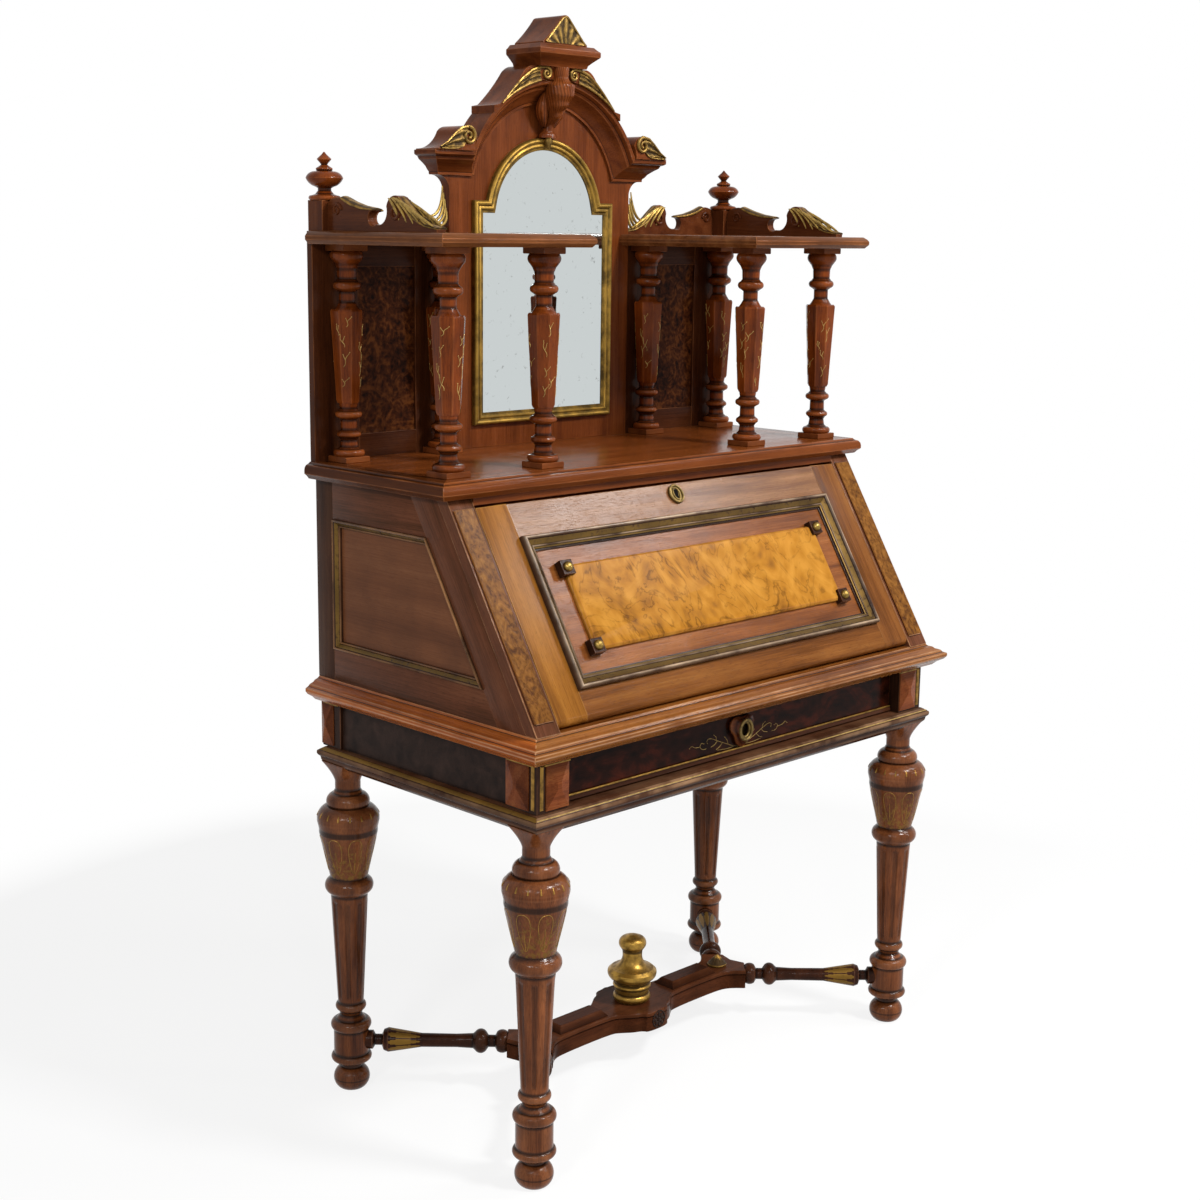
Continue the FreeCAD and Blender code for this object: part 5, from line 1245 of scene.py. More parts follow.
@dataclass
class Stretcher:
    """Shaped stretcher with turned diagonal spindles, a gilt finial and carved rosettes."""

    middle_y: float = 3.4
    rail_low: float = 66.2
    rail_top: float = 103.1
    cone_x: float = 243.0
    quarter: Line = (
        (26.0, 72.0), (32.0, 60.0), (48.0, 54.0), (66.0, 40.0), (82.0, 30.0), (204.9, 30.0), (236.9, 36.0),
        (261.3, 59.9), (292.4, 28.8), (284.4, 0.0))
    spindle_long: float = 251.5
    spindle_wide: float = 22.0
    spindle_z: float = 89.08
    leg_gap: float = 31.5
    finial_tall: float = 130.0
    finial_wide: float = 46.5
    spindle: Shares = (
        (-.03, .77), (.032, .77), (.048, .455), (.095, .455), (.111, .864), (.143, 1.0), (.382, .568),
        (.634, .545), (.7535, .614), (.769, .773), (.849, .773, .809, 1.0), (.865, .5), (.9125, .5),
        (.928, .818), (1.0, .818, .964, .955))
    finial: Shares = (
        (0.0, .667), (.02, .71), (.11, .71, .065, .763), (.12, .677), (.22, .731), (.26, .753, .25, .774),
        (.28, .7), (.33, .774), (.46, .99, .42, 1.0), (.5, .86), (.7, .398, .57, .516), (.76, .409),
        (.8, .473), (.97, .344, .88, .56), (1.0, .13))
    cone: Line = (
        (-0.5, 15.0), (0.5, 18.0), (3.5, 19.0), (6.0, 17.5), (7.0, 15.5), (12.0, 11.5), (17.0, 6.5),
        (21.0, 2.2), (22.0, 0.5))

    def build(self, legs: Legs) -> None:
        """Make the stretcher.

        Args:
            legs: the legs that it joins.
        """
        self.rail()
        self.spindles(legs)
        line = turned_line(self.finial, self.finial_tall, self.finial_wide, 2.0)
        finial = moved(LATHE.turn(line, GILT), shift(0.0, self.middle_y, self.rail_top))
        burnished = replace(GILT, name="burnished_gilding", bright="#a37e35", dull="#523c16", roughness=0.34)
        install("stretcher_finial_turned", finial, burnished, replaces=["stretcher_finial"])
        self.ornaments()

    def spindles(self, legs: Legs) -> None:
        """Turn the four spindles, with gilt tongues round their bulbs.

        Args:
            legs: the legs that they run to.
        """
        line = turned_line(self.spindle, self.spindle_long, self.spindle_wide, 2.0)
        turned = LATHE.turn(line, TURNED, sides=72)
        gilt = turned.attributes["gilt"].data
        for vertex in turned.vertices:
            share = vertex.co.z / MM / self.spindle_long
            turn = (atan2(vertex.co.y, vertex.co.x) / tau * 9) % 1.0
            if .15 < share < .375 and abs(turn - 0.5) < 0.42 * sin(pi * (share - .12) / .27) + 0.04:
                gilt[vertex.index].value = 0.62
        lying = Matrix.Rotation(pi / 2, 4, "Y") @ shift(0.0, 0.0, self.leg_gap)
        spots = [shift(side * legs.half_x, y, self.spindle_z) @ Matrix.Rotation(radians(turn), 4, "Z") @ lying
                 for side, y, turn in ((1, legs.front_y, 135), (-1, legs.front_y, 45), (1, legs.rear_y, -135),
                                       (-1, legs.rear_y, -45))]
        dark = SMOKY.stained("dark_turned_walnut", "#20110a", "#351b0f", "#472717", roughness=0.14,
                             sheen_level=0.07)
        install("stretcher_spindles_turned", merged([moved(turned, spot) for spot in spots]), dark,
                replaces=["stretcher_spindles"])

    def rail(self) -> None:
        """Saw the rail to its plan, soft at its platform's corners, with a bead line and hipped wedges."""
        right = list(self.quarter) + [(x, -y) for x, y in reversed(self.quarter[:-1])]
        plan = [(x, y, abs(x) < 250) for x, y in right] + [(-x, y, abs(x) < 250) for x, y in reversed(right)]
        for _ in range(2):
            cut = []
            for i, (x, y, soft) in enumerate(plan):
                if not soft:
                    cut.append((x, y, False))
                    continue
                cut += [(x + (x1 - x) / 4, y + (y1 - y) / 4, True)
                        for x1, y1, _ in (plan[i - 1], plan[(i + 1) % len(plan)])]
            plan = cut
        outline = [(x, y) for x, y, _ in reversed(plan)]
        wood, low, top = Shape(), self.rail_low, self.rail_top
        # rows: inset, height, wear with painted highlight, and soot with painted shade, which darkens the
        # bead groove
        steps = ((1.4, low, 0, 0), (0, low + 1.4, .3, 0), (0, top - 10, 0, 0), (1.6, top - 9, 0, .9),
                 (1.6, top - 8, 0, .9), (0, top - 7, .3, 0), (0, top - 1.5, .5, 0), (1.5, top, .4, 0))
        wood.loft([[Vector((u, v + self.middle_y, z)) for u, v in inset(outline, d)] for d, z, *_ in steps],
                  [[(0.0, wear_and_highlight, soot_and_shade)] * len(outline) for *_, wear_and_highlight, soot_and_shade in steps])
        for side in (-1, 1):
            rows = []
            for pull, rise in ((0.0, -1.0), (0.0, 0.5), (9.0, 11.0), (10.0, 11.9)):
                wedge = rectangle(side * (88 + pull), pull - 25, side * (210 - pull), 25 - pull)
                rows.append([Vector((x, self.middle_y + y, top + rise)) for x, y in wedge])
            # the wedges darken at their feet as soot and painted shade, and pale at their crests as wear and
            # painted highlight
            wood.loft(rows, [[PLAIN] * 4, [(0.0, 0.0, 0.6)] * 4, [(0.0, 0.4, 0.0)] * 4, [PLAIN] * 4])
        finish = RED.stained("stretcher_walnut", "#241006", "#41200f", "#552d18", rubbed="#7e4c30",
                             sheen_level=0.02)
        install("stretcher_rail_shaped", wood.mesh(), finish, replaces=["stretcher_rail"])

    def ornaments(self) -> None:
        """Carve a dark rosette on each nose of the platform, and set a gilt cone on each fork."""
        parts = []
        for side in (-1, 1):
            facing = Vector((0.0, side, 0.0)).to_track_quat("Z", "X").to_matrix().to_4x4()
            nose = self.middle_y + side * (self.quarter[0][1] - 0.5)
            spot = shift(0.0, nose, self.rail_top - 17.0) @ facing
            parts += [moved(RINGER.ring(count, radius, size, BLACK), spot) for count, radius, size in
                      ((26, 15.5, (1.8, 2.2, 2.2)), (8, 9.0, (5.2, 3.4, 3.0)), (3, 0.8, (4.0, 4.0, 4.4)))]
        install("stretcher_rosettes", merged(parts), BLACK)
        cone = LATHE.turn(self.cone, GILT, 72, 9, 1.4, 6.5, 20.0)
        cones = [moved(cone, shift(side * self.cone_x, self.middle_y, self.rail_top)) for side in (-1, 1)]
        install("stretcher_cones", merged(cones), GILT)


@dataclass
class Frieze:
    """Frieze under the writing board: corner posts, tablets, aprons and the base moulding."""

    outer: float = 516.0
    front_y: float = -283.1
    post_front: float = -269.1
    post_rear: float = 284.9
    post_outer: float = 502.0
    # inset, height, then gilt, wear with painted highlight, and soot with painted shade
    moulding: Shares = (
        (80, 640), (12, 640, 0, .2, 0), (10.5, 639.4, 0, .3, 0), (9.8, 638.8, 0, 0, .8),
        (9.2, 638.6, .6, 0, 0), (3.0, 634.4, .6, 0, 0), (2.4, 633.6, 0, 0, .8), (1.2, 633.2, 0, .6, 0),
        (.2, 631.6, 0, .8, 0), (0, 629.4, 0, .5, 0), (.2, 626.8, 0, .3, 0), (1.4, 624.6, 0, .1, .2),
        (4.2, 622, 0, 0, .5), (5, 619.6, 0, 0, .3), (5.2, 617, 0, .3, 0), (6.6, 614.2, 0, .3, 0),
        (8, 612.8, 0, 0, .3), (10, 610.6, 0, 0, .2), (14, 607), (80, 607))

    def facet(self, normal: Vector) -> float:
        """Painted shade of a facet of a tablet: those towards the corner and upwards are darkest."""
        aside = -normal.y if abs(normal.x) > abs(normal.y) else normal.x * -0.6
        return max(0.0, min(0.6, 0.2 + normal.z + 1.4 * aside)) if max(map(abs, normal)) < 0.995 else 0.2

    def build(self) -> None:
        """Make the frieze."""
        base = Shape()
        base.moulding(rectangle(-self.outer, self.front_y, self.outer, BACK), self.moulding,
                      lambda u, v, h: Vector((u, v, h)), plain_sides=(0,))
        finish = SMOKY.stained("base_walnut", "#26130a", "#402314", "#54311f", rubbed="#a88462",
                               ends=(self.outer, self.front_y))
        install("base_moulding_run", base.mesh(), finish, replaces=["base_moulding"])
        post = SMOKY.stained("post_walnut", "#1c100a", "#2f1b11", "#3f271a", grain=Grain.UPRIGHT)
        ease("corner_posts", post, 1.2)
        # the tablets' facets get painted shade by the way they face
        ease("corner_tablets", RED.stained("tablet_walnut", "#52240d", "#7a3d1b", "#94562c"), 0.7, sharp=8.0,
             tone=self.facet)
        ease("aprons", BLACK)
        dress(INSIDE, "drawer_runners")
        self.fillets()
        line = [Vector((side * (self.outer - 5.0), self.front_y + 4.0, 635.4)) for side in (-1, 1)]
        LINER.lay("base_gilt_line", [Thread.even(line, 1.0)], LEAF_GILT)
        # the ends are painted lighter, as light on them, and the pale rubbed colour paints highlights on the
        # arrises as well as wear
        board = RED.stained("board_walnut", "#52290f", "#7f491c", "#975f2a", rubbed="#d2a578",
                            sheen_level=0.14, ends=(538.0, -303.1), end_tint=(1.7, 1.35, 1.3, 1.0))
        ease("writing_board", board, 1.4)

    def fillets(self) -> None:
        """Set gilt fillets beside and over the corner tablets."""
        work, front, rear, outer = Shape(), self.post_front, self.post_rear, self.post_outer
        for side in (-1, 1):
            near, far = sorted((side * (outer - 13.5), side * (outer - 6.0)))
            work.block((near, front + 0.5, 646), (far, front - 1.8, 719), 1.6, 1)
            for low, high in ((front + 6.0, front + 13.5), (rear - 13.5, rear - 6.0)):
                work.block((side * (outer - 0.5), low, 646), (side * (outer + 1.8), high, 719), 1.6, 0)
            for low, high in ((front + 6.0, front + 70.0), (rear - 45.0, rear - 6.0)):
                work.block((side * outer, low, 717), (side * (outer + 2.8), high, 720.5), 0.8, 0)
            near, far = sorted((side * (outer - 13.5), side * (outer - 70.0)))
            work.block((near, front, 717), (far, front - 2.8, 720.5), 0.8, 1)
        install("tablet_fillets", work.mesh(), GILT)


@dataclass
class Drawer:
    """Frieze drawer with its gilt bead, boss, keyhole and incised sprays."""

    half: float = 432.0
    face_y: float = -247.1
    middle_z: float = 685.75
    strokes: Sequence[Line] = (
        ((2, -31), (14, -30), (28, -24), (46, -17), (60, -11), (76, -4), (86, -3), (89, -9), (84, -12)),
        ((30, -23), (33, -15), (39, -9)), ((44, -17), (52, -24), (60, -27)),
        ((14, -30), (32, -31), (56, -29)), ((58, -12), (65, -18), (74, -20)), ((60, -11), (62, -4), (68, 0)),
        ((86, -21), (97, -21), (104, -14), (99, -8), (93, -11)),
        ((103, -15), (116, -14), (124, -9), (129, -13)))

    def spray(self, side: int) -> list[Thread]:
        """Incised gilt spray on one side of the boss.

        Args:
            side: -1 for the left spray, 1 for the right one.
        Returns:
            Its strokes.
        """
        threads = []
        for stroke in self.strokes:
            points = [along_path(stroke, i / 18) for i in range(19)]
            for _ in range(3):
                middle = [((a[0] + 2 * b[0] + c[0]) / 4, (a[1] + 2 * b[1] + c[1]) / 4)
                          for a, b, c in zip(points, points[1:], points[2:])]
                points = [points[0], *middle, points[-1]]
            path = [Vector((side * u, self.face_y + 0.1, self.middle_z + v)) for u, v in points]
            threads.append(Thread.tapered(path, 0.42, 0.7))
        return threads

    def boss(self) -> None:
        """Carve the boss: three lobes that draw in to a brass collar round the keyhole."""
        rows, marks, sides = [], [], 84
        # rows: reach out, radius, lobe depth, height share, wear with painted highlight, and soot with
        # painted shade
        for out, wide, lobe, tall, wear_and_highlight, soot_and_shade in (
                (0, 27, 5.5, .95, 0, .8), (2, 28.5, 5.5, .95, 0, .3), (6, 28, 5.5, .95, .7, 0),
                (8, 25, 4.5, .97, .3, 0), (10, 20.5, 2, 1.05, 0, .6), (14, 19, 0, 1.1, .2, .2),
                (15, 17, 0, 1.12, .4, 0), (15, 15.6, 0, 1.12, 0, .4), (3.2, 14.6, 0, 1.14, 0, .9)):
            row = []
            for i, (c, s) in enumerate(circle(sides)):
                r = wide + lobe * sin(3 * tau * i / sides)
                row.append(Vector((r * c, self.face_y - out, self.middle_z + tall * r * s)))
            rows.append(row)
            marks.append([(0.0, wear_and_highlight, soot_and_shade)] * sides)
        wood = Shape()
        wood.loft(rows, marks, ring=True)
        finish = RED.stained("boss_walnut", "#2a0f06", "#481c0c", "#5f2c16", sheen_level=0.12)
        install("drawer_boss_carved", wood.mesh(), finish, "drawer", ["drawer_boss"], 50.0)
        rims = [Thread.even([Vector((wide * c, self.face_y - out, self.middle_z + (wide + 2) * s))
                             for c, s in circle(40)], thick, True)
                for wide, out, thick in ((15.6, 14.5, 3.0), (11.4, 12.0, 2.6))]
        LINER.lay("drawer_lock_collar", rims, TARNISHED, "drawer", sides=10)
        keyhole("drawer_keyhole", lambda u, v, h: Vector((u, self.face_y - h, self.middle_z + v)), 3.4,
                "drawer")

    def build(self) -> None:
        """Make the drawer."""
        ease("drawer_front", DRAWER_BURL)
        self.boss()
        dress(INSIDE, "drawer_box", "drawer_bottom")
        dress(SMOKY.stained("bead_walnut", "#26130a", "#3c2012", "#4e2d1c"), "drawer_bead")
        dress(TARNISHED, "drawer_escutcheon")
        dress(IRON, "drawer_lock")
        dress(BRASS, "drawer_lock_bolt")
        LINER.lay("drawer_sprays", self.spray(-1) + self.spray(1), LEAF_GILT, "drawer", sides=6, drop=1.1)
        lines = [Thread.even([Vector((side * self.half, self.face_y - out, z)) for side in (-1, 1)], thick)
                 for out, z, thick in ((2.6, 651.4, 1.7), (0.0, 717.5, 0.9))]
        LINER.lay("drawer_gilt_lines", lines, GILT, "drawer")


@dataclass
class DeskCase:
    """Case behind the fall front: framed sides, slanted stiles, top board and inside."""

    opening: Line = ((-149.6, 821.0), (238.9, 821.0), (238.9, 1047.0), (-10.2, 1047.0))
    slope: float = 1.6215
    panel_face: float = 499.0
    frame_in: float = 488.0
    frame_thick: float = 20.0
    front: float = -249.3
    strip_low: float = 464.0
    strip_high: float = 501.0
    strip_long: float = 367.2
    # inset, height, then gilt, wear with painted highlight, and soot with painted shade
    moulding: Shares = (
        (0, 0), (0, 10, 0, .1, 0), (.8, 12.2, 0, .5, 0), (2.3, 13, 0, .6, 0), (3.9, 12.2, 0, .4, 0),
        (4.9, 10.2, 0, 0, .9), (5.3, 9.8, .56, 0, 0), (9.7, 5.4, .52, 0, .2), (10.1, 4.6, 0, 0, .9),
        (10.9, 5.4, 0, .5, 0), (12.2, 5.8, 0, .6, 0), (13.4, 4.6, 0, .4, 0), (14, 2.4), (14, 0))

    def build(self) -> None:
        """Make the case."""
        self.frames()
        panel = SMOKY.stained("side_panel_walnut", "#5f3823", "#6f442b", "#7b4f34", grain=Grain.DEEP,
                              figure_mm=60.0)
        dress(panel, "case_side_panels")
        # the tan rubbed colour paints the pale line on the plain slanted side, as wear and highlight
        moulded = replace(MOULDED, name="side_moulding_walnut", grain=Grain.DEEP, rubbed="#c8905c")
        for side, name in ((-1, "left"), (1, "right")):
            strips = Shape()
            strips.moulding(self.opening, self.moulding, plain_sides=(3,),
                            place=lambda u, v, h, s=side: Vector((s * (self.panel_face + h), u, v)))
            install(f"side_moulding_{name}", strips.mesh(), moulded, replaces=["side_panel_mouldings"])
        # the pale rubbed colour paints a bright line on the corner arris, as wear and highlight
        ease("slant_stiles", replace(SMOKY, name="stile_walnut", grain=Grain.SLOPE, rubbed="#e0aa78"), 1.3)
        self.strips()
        dress(INSIDE, "inner_cheeks", "pigeonholes", "case_back", "writing_bed")
        ease("case_top_rail", RED, 0.8)
        # the ends are painted darker, as shade on them
        top = RED.stained("top_walnut", "#56290d", "#6a3514", "#7a401a", ends=(532.0, -82.1),
                          end_tint=(0.42, 0.42, 0.42, 1.0), patina=0.12, roughness=0.16)
        ease("top_board", top, 1.2)

    def frames(self) -> None:
        """Frame the sides of planks."""
        def edge(start: float, level: float, z: float) -> float:
            """Y at a height on a line up the slant that passes a start at a level."""
            return start + (z - level) / self.slope

        low, high = BOARD_TOP, TOP_LOW
        (y0, z0), (y1, _), (_, z1), (y3, _) = self.opening
        foot, head = edge(y0, z0, low), edge(y0, z0, high)
        shaded = SMOKY.stained("shaded_walnut", "#301c12", "#442a1d", "#533827")
        for name, finish, outline in (
                ("back_stile", shaded.along(Grain.UPRIGHT), rectangle(y1, low, BACK, high)),
                ("low_rail", SMOKY.along(Grain.DEEP), ((foot, low), (y1, low), (y1, z0), (y0, z0))),
                ("top_rail", SMOKY.along(Grain.DEEP), ((y3, z1), (y1, z1), (y1, high), (head, high))),
                ("slant_stile", SMOKY.along(Grain.SLOPE), ((self.front, low), (foot, low), (head, high),
                                                           (edge(self.front, low, high), high)))):
            wood = Shape()
            for side in (-1, 1):
                wood.plank(outline, lambda u, v, h, s=side: Vector((s * (self.frame_in + h), u, v)),
                           self.frame_thick)
            install(f"case_side_{name}s", wood.mesh(), finish, replaces=["case_side_frames"])

    def strips(self) -> None:
        """Lay a burl strip between thin beads down each slanted stile."""
        burl, beads = Shape(), []
        near, far, end = self.strip_low + 0.5, self.strip_high + 1.5, self.strip_long - 1.5
        for side in (-1, 1):
            burl.loft([[on_slant(side * x, along, out)
                        for x, along in rectangle(near + d, 1.5 + d, far - d, end - d)]
                       for d, out in ((0.0, 11.0), (0.0, 13.7), (0.5, 14.2))])
            beads += [Thread.even([on_slant(side * x, along, 13.0) for along in (1.0, end + 0.5)], 0.9)
                      for x in (near - 0.6, far + 0.8)]
        install("slant_burl_strips", burl.mesh(), BROWN_BURL)
        LINER.lay("slant_beads", beads, BROWN.along(Grain.SLOPE), sides=10)


@dataclass
class FallFront:
    """Fall front: framed panel with a gilt moulding, a burl tablet, blocks, studs and a lock."""

    inner: float = 390.0
    low: float = 39.0
    high: float = 307.2
    panel_out: float = 6.0
    key_along: float = 346.2
    # inset, height, then gilt, wear with painted highlight, and soot with painted shade; the crest's full
    # wear paints its highlight line
    moulding: Shares = (
        (0, 0), (0, 10, 0, .1, 0), (.8, 13.4, 0, .3, 0), (2.4, 16, 0, .5, 0), (3.8, 17, 0, 1, 0),
        (5.2, 17, 0, 1, 0), (6.4, 16.2, 0, .3, 0), (7.7, 14, 0, .1, .2), (8.1, 12.4, 0, 0, 1),
        (8.6, 12, .5, 0, .3), (16.4, 7.6, .56, 0, 0), (16.8, 6.8, 0, 0, 1), (17.3, 7.8, 0, .5, 0),
        (18.6, 8.6, 0, .7, 0), (19.9, 7.8, 0, .5, 0), (20.2, 6.4, 0, 0, .9), (20.6, 6.2, .7, 0, 0),
        (22.8, 5.4, .7, 0, 0), (23.1, 4.4, 0, 0, .8), (23.2, 3, 0, 0, .6), (26, 2.4, 0, 0, .3), (26, 0))

    def along(self, p: Vector) -> float:
        """Distance of a point up the slope from the hinge axis, in mm."""
        return (p.y - AXIS_Y) * cos(SLANT) + (p.z - AXIS_Z) * sin(SLANT)

    def build(self) -> None:
        """Make the fall front."""
        for part, finish, test in (
                # the left stile is painted paler than the right, as the light on it
                ("left_stile", HONEY.along(Grain.SLOPE), lambda p: p.x < 0.1 - self.inner),
                ("right_stile", BROWN.along(Grain.SLOPE), lambda p: p.x > self.inner - 0.1),
                ("low_rail", BROWN, lambda p: abs(p.x) < self.inner + 0.1 and self.along(p) < 120),
                ("top_rail", WORN, lambda p: abs(p.x) < self.inner + 0.1 and self.along(p) > 240)):
            ease("lid_frame", finish, 1.2, part, [test])
        dress(RED.stained("panel_walnut", "#592e12", "#81491f", "#9b6130", sheen_level=0.14), "lid_panel")
        strips = Shape()
        strips.moulding(rectangle(-self.inner, self.low, self.inner, self.high), self.moulding,
                        lambda u, v, h: on_slant(u, v, self.panel_out + h))
        install("lid_moulding_strips", strips.mesh(), MOULDED, "lid", ["lid_moulding"])
        rims = [Thread.even([on_slant(wide * c, self.key_along + tall * s, out) for c, s in circle(40)],
                            thick, True)
                for wide, tall, out, thick in ((15.4, 15.8, 14.0, 2.5), (7.6, 11.0, 14.4, 1.6))]
        LINER.lay("lid_lock_rims", rims, TARNISHED, "lid", sides=10)
        keyhole("lid_keyhole", lambda u, v, h: on_slant(u, self.key_along + v, 11.5 + h), 2.85, "lid")
        ease("lid_tablet", GOLDEN_BURL)
        ease("lid_blocks", SMOKY.stained("block_walnut", "#20110a", "#331c10", "#46291a"), 0.9)
        dress(TARNISHED, "lid_escutcheon")
        dress(IRON, "lid_lock")
        dress(BRASS, "lid_studs", "lid_lock_bolt", "lid_pivots", "stay_lid_brackets", "stay_case_arm_left",
              "stay_case_arm_right", "stay_lid_arm_left", "stay_lid_arm_right")


@dataclass
class Gallery:
    """Gallery over the desk: wings, shelves on turned columns, pierced rails and finials."""

    column_x: Sequence[float] = (-468.0, -261.0, 261.0, 468.0)
    column_y: Sequence[float] = (-19.1, 242.9)
    column_low: float = 1152.0
    column_tall: float = 343.0
    column_wide: float = 28.0
    column_square: float = 50.0
    post_x: float = 496.0
    post_y: float = 262.9
    post_top: float = 1577.0
    finial_tall: float = 78.0
    finial_wide: float = 31.0
    rail_high: float = 57.0
    twig_count: int = 20
    shaded: Walnut = RED.stained("rail_walnut", "#3c1a0c", "#552a14", "#65371d")
    foot: Shares = (
        (0.0, .857), (.035, .714, .0146, .964), (.047, .554), (.079, .493), (.093, .607),
        (.1225, .607, .108, .75), (.131, .5), (.181, .486), (.1895, .643), (.2245, .643, .207, .82),
        (.236, .521), (.2625, .571))
    octagon: Line = ((.2625, .607), (.277, .686), (.711, .957), (.72, .893))
    head: Shares = (
        (.72, .75), (.732, .643), (.755, .482), (.802, .482), (.8135, .679), (.854, .679, .834, .857),
        (.866, .571), (.9125, .589), (.936, .714), (.9475, .821), (.959, .929), (1.0, .893, .98, 1.0))
    finial: Shares = (
        (0.0, .7), (.1, .7, .05, .86), (.13, .5), (.2, .36), (.25, .36), (.28, .5), (.46, 1.0, .345, .8),
        (.6, .48, .555, .84), (.62, .42), (.68, .38, .65, .45), (.7, .3), (.735, .17), (.76, .2), (.84, .38),
        (.86, .38), (.95, .13), (1.0, .03))
    slopes: Sequence[tuple[float, Line]] = (
        (1.5, ((.13, .95), (.22, .8), (.32, .68), (.43, .61))),
        (2.5, ((.66, .93), (.72, .72), (.8, .42), (.9, .2), (1.0, .1))))
    sweeps: Sequence[Line] = (
        ((.57, .92), (.64, .78), (.665, .33)), ((.59, .94), (.69, .8), (.73, .27)),
        ((.61, .95), (.74, .75), (.79, .24)), ((.64, .93), (.78, .66), (.85, .22)),
        ((.67, .87), (.83, .54), (.91, .19)), ((.71, .77), (.88, .38), (.965, .16)))
    climbs: Sequence[Line] = (
        ((.8, .5), (.94, .35), (.955, 1.4)), ((.84, .34), (.96, .3), (.965, 1.2)),
        ((.88, .24), (.98, .3), (.975, 1.0)), ((.92, .16), (1.0, .25), (.985, .75)))

    def build(self) -> None:
        """Make the gallery."""
        # the wings' walnut is darkened as painted shade under the shelf
        wood = RED.stained("wing_walnut", "#2c1308", "#44210f", "#542d18")
        ease("gallery_wings", wood, 0.9, "rails", (lambda p: p.z < 1184.1, lambda p: p.z > 1467.9))
        ease("gallery_wings", wood.along(Grain.UPRIGHT), 0.9, "stiles",
             (lambda p: abs(p.x) < 299.1, lambda p: abs(p.x) > 423.9))
        dress(DARK_BURL, "wing_panels")
        ease("shelves", RED.stained("shelf_walnut", "#45240f", "#64391c", "#7c4c2a", ends=(532.0, -82.1)))
        self.columns()
        self.finials()
        self.rails()

    def facet(self, turn: float) -> float:
        """How much farther than its flats an eight-sided shaft reaches at a turn in radians."""
        return 1 / cos((turn + pi / 8) % (pi / 4) - pi / 8)

    def columns(self) -> None:
        """Make the eight columns, turned below and above an eight-sided shaft, with gilt twigs."""
        sides, tall, wide = 64, self.column_tall, self.column_wide
        rows: list[tuple[float, float, bool, Mark]] = []
        for shares in (self.foot, self.octagon, self.head):
            faceted = shares is self.octagon
            line = [(z * tall, r * wide) for z, r in shares] if faceted else turned_line(shares, tall, wide)
            marks = [PLAIN] * len(line) if faceted else profile_marks(line)
            rows += [(z, r, faceted, mark) for (z, r), mark in zip(line, marks)]
        # the octagon's arrises are marked pale, as wear and painted highlight
        marks = [[(0.0, 0.6, 0.0) if faceted and k % 8 == 4 else mark for k in range(sides)]
                 for _, _, faceted, mark in rows]
        work, squares, twigs, half = Shape(), Shape(), [], self.column_square / 2
        for i, x in enumerate(self.column_x):
            for j, y in enumerate(self.column_y):
                loops = []
                for z, r, faceted, _ in rows:
                    reach = [r * self.facet(tau * k / sides) if faceted else r for k in range(sides)]
                    loops.append([Vector((x + out * c, y + out * s, self.column_low + z))
                                  for out, (c, s) in zip(reach, circle(sides))])
                work.loft(loops, marks)
                for low, high in ((TOP_LEVEL, self.column_low), (self.column_low + tall, SHELF_LOW)):
                    steps = ((half - 1, low), (half, low + 1), (half, high - 1), (half - 1, high))
                    squares.loft([[Vector((u, v, z)) for u, v in rectangle(x - h, y - h, x + h, y + h)]
                                  for h, z in steps], [[(0.0, 0.3, 0.0)] * 4] * 4)
                twigs += self.twigs(x, y, 3 * i + j)
        install("columns_turned", work.mesh(), TURNED, replaces=["columns"])
        install("column_squares", squares.mesh(), RED)
        LINER.lay("column_twigs", twigs, LEAF_GILT, sides=5, drop=0.9)

    def twigs(self, x: float, y: float, number: int) -> list[Thread]:
        """Incised gilt twigs scattered over the shaft of one column.

        Args:
            x, y: the column's axis in mm.
            number: the column's number, which shifts the pattern.
        Returns:
            The strokes.
        """
        (z0, f0), (z1, f1) = self.octagon[1:3]

        def at(turn: float, share: float) -> Vector:
            """Point on the shaft.

            Args:
                turn: turn round it.
                share: share of its height.
            Returns:
                The point in mm.
            """
            angle = tau * turn
            out = (f0 + (f1 - f0) * share) * self.column_wide * self.facet(angle)
            z = self.column_low + (z0 + (z1 - z0) * share) * self.column_tall
            return Vector((x + out * cos(angle), y + out * sin(angle), z))

        threads = []
        for k in range(self.twig_count):
            # steps of two plastic-number powers scatter the twigs evenly
            turn = (0.7549 * k + 0.29 * number) % 1.0
            share = 0.03 + 0.8 * ((0.5698 * k + 0.17 * number) % 1.0)
            lean = (1 if k % 3 else -1) * (0.03 + 0.05 * ((0.7 * k) % 1.0))
            rise = 0.1 + 0.09 * ((0.43 * k) % 1.0)
            stem = [at(turn + lean * t / 8 + 0.01 * sin(t), share + rise * t / 8) for t in range(9)]
            shoot = [at(turn + lean * (0.4 - t / 12), share + rise * (0.4 + t / 11)) for t in range(6)]
            threads += [Thread.tapered(stem, 0.55, 1.0), Thread.tapered(shoot, 0.5, 0.8)]
        return threads

    def finials(self) -> None:
        """Make the two corner posts and their turned finials."""
        ease("gallery_posts", self.shaded.along(Grain.UPRIGHT), 1.0, "blocks",
             [lambda p: p.z < self.post_top + 0.1])
        line = turned_line(self.finial, self.finial_tall, self.finial_wide, 1.5)
        turned = LATHE.turn(line, TURNED, sides=72)
        copies = [moved(turned, shift(side * self.post_x, self.post_y, self.post_top)) for side in (-1, 1)]
        install("gallery_finials", merged(copies), TURNED)

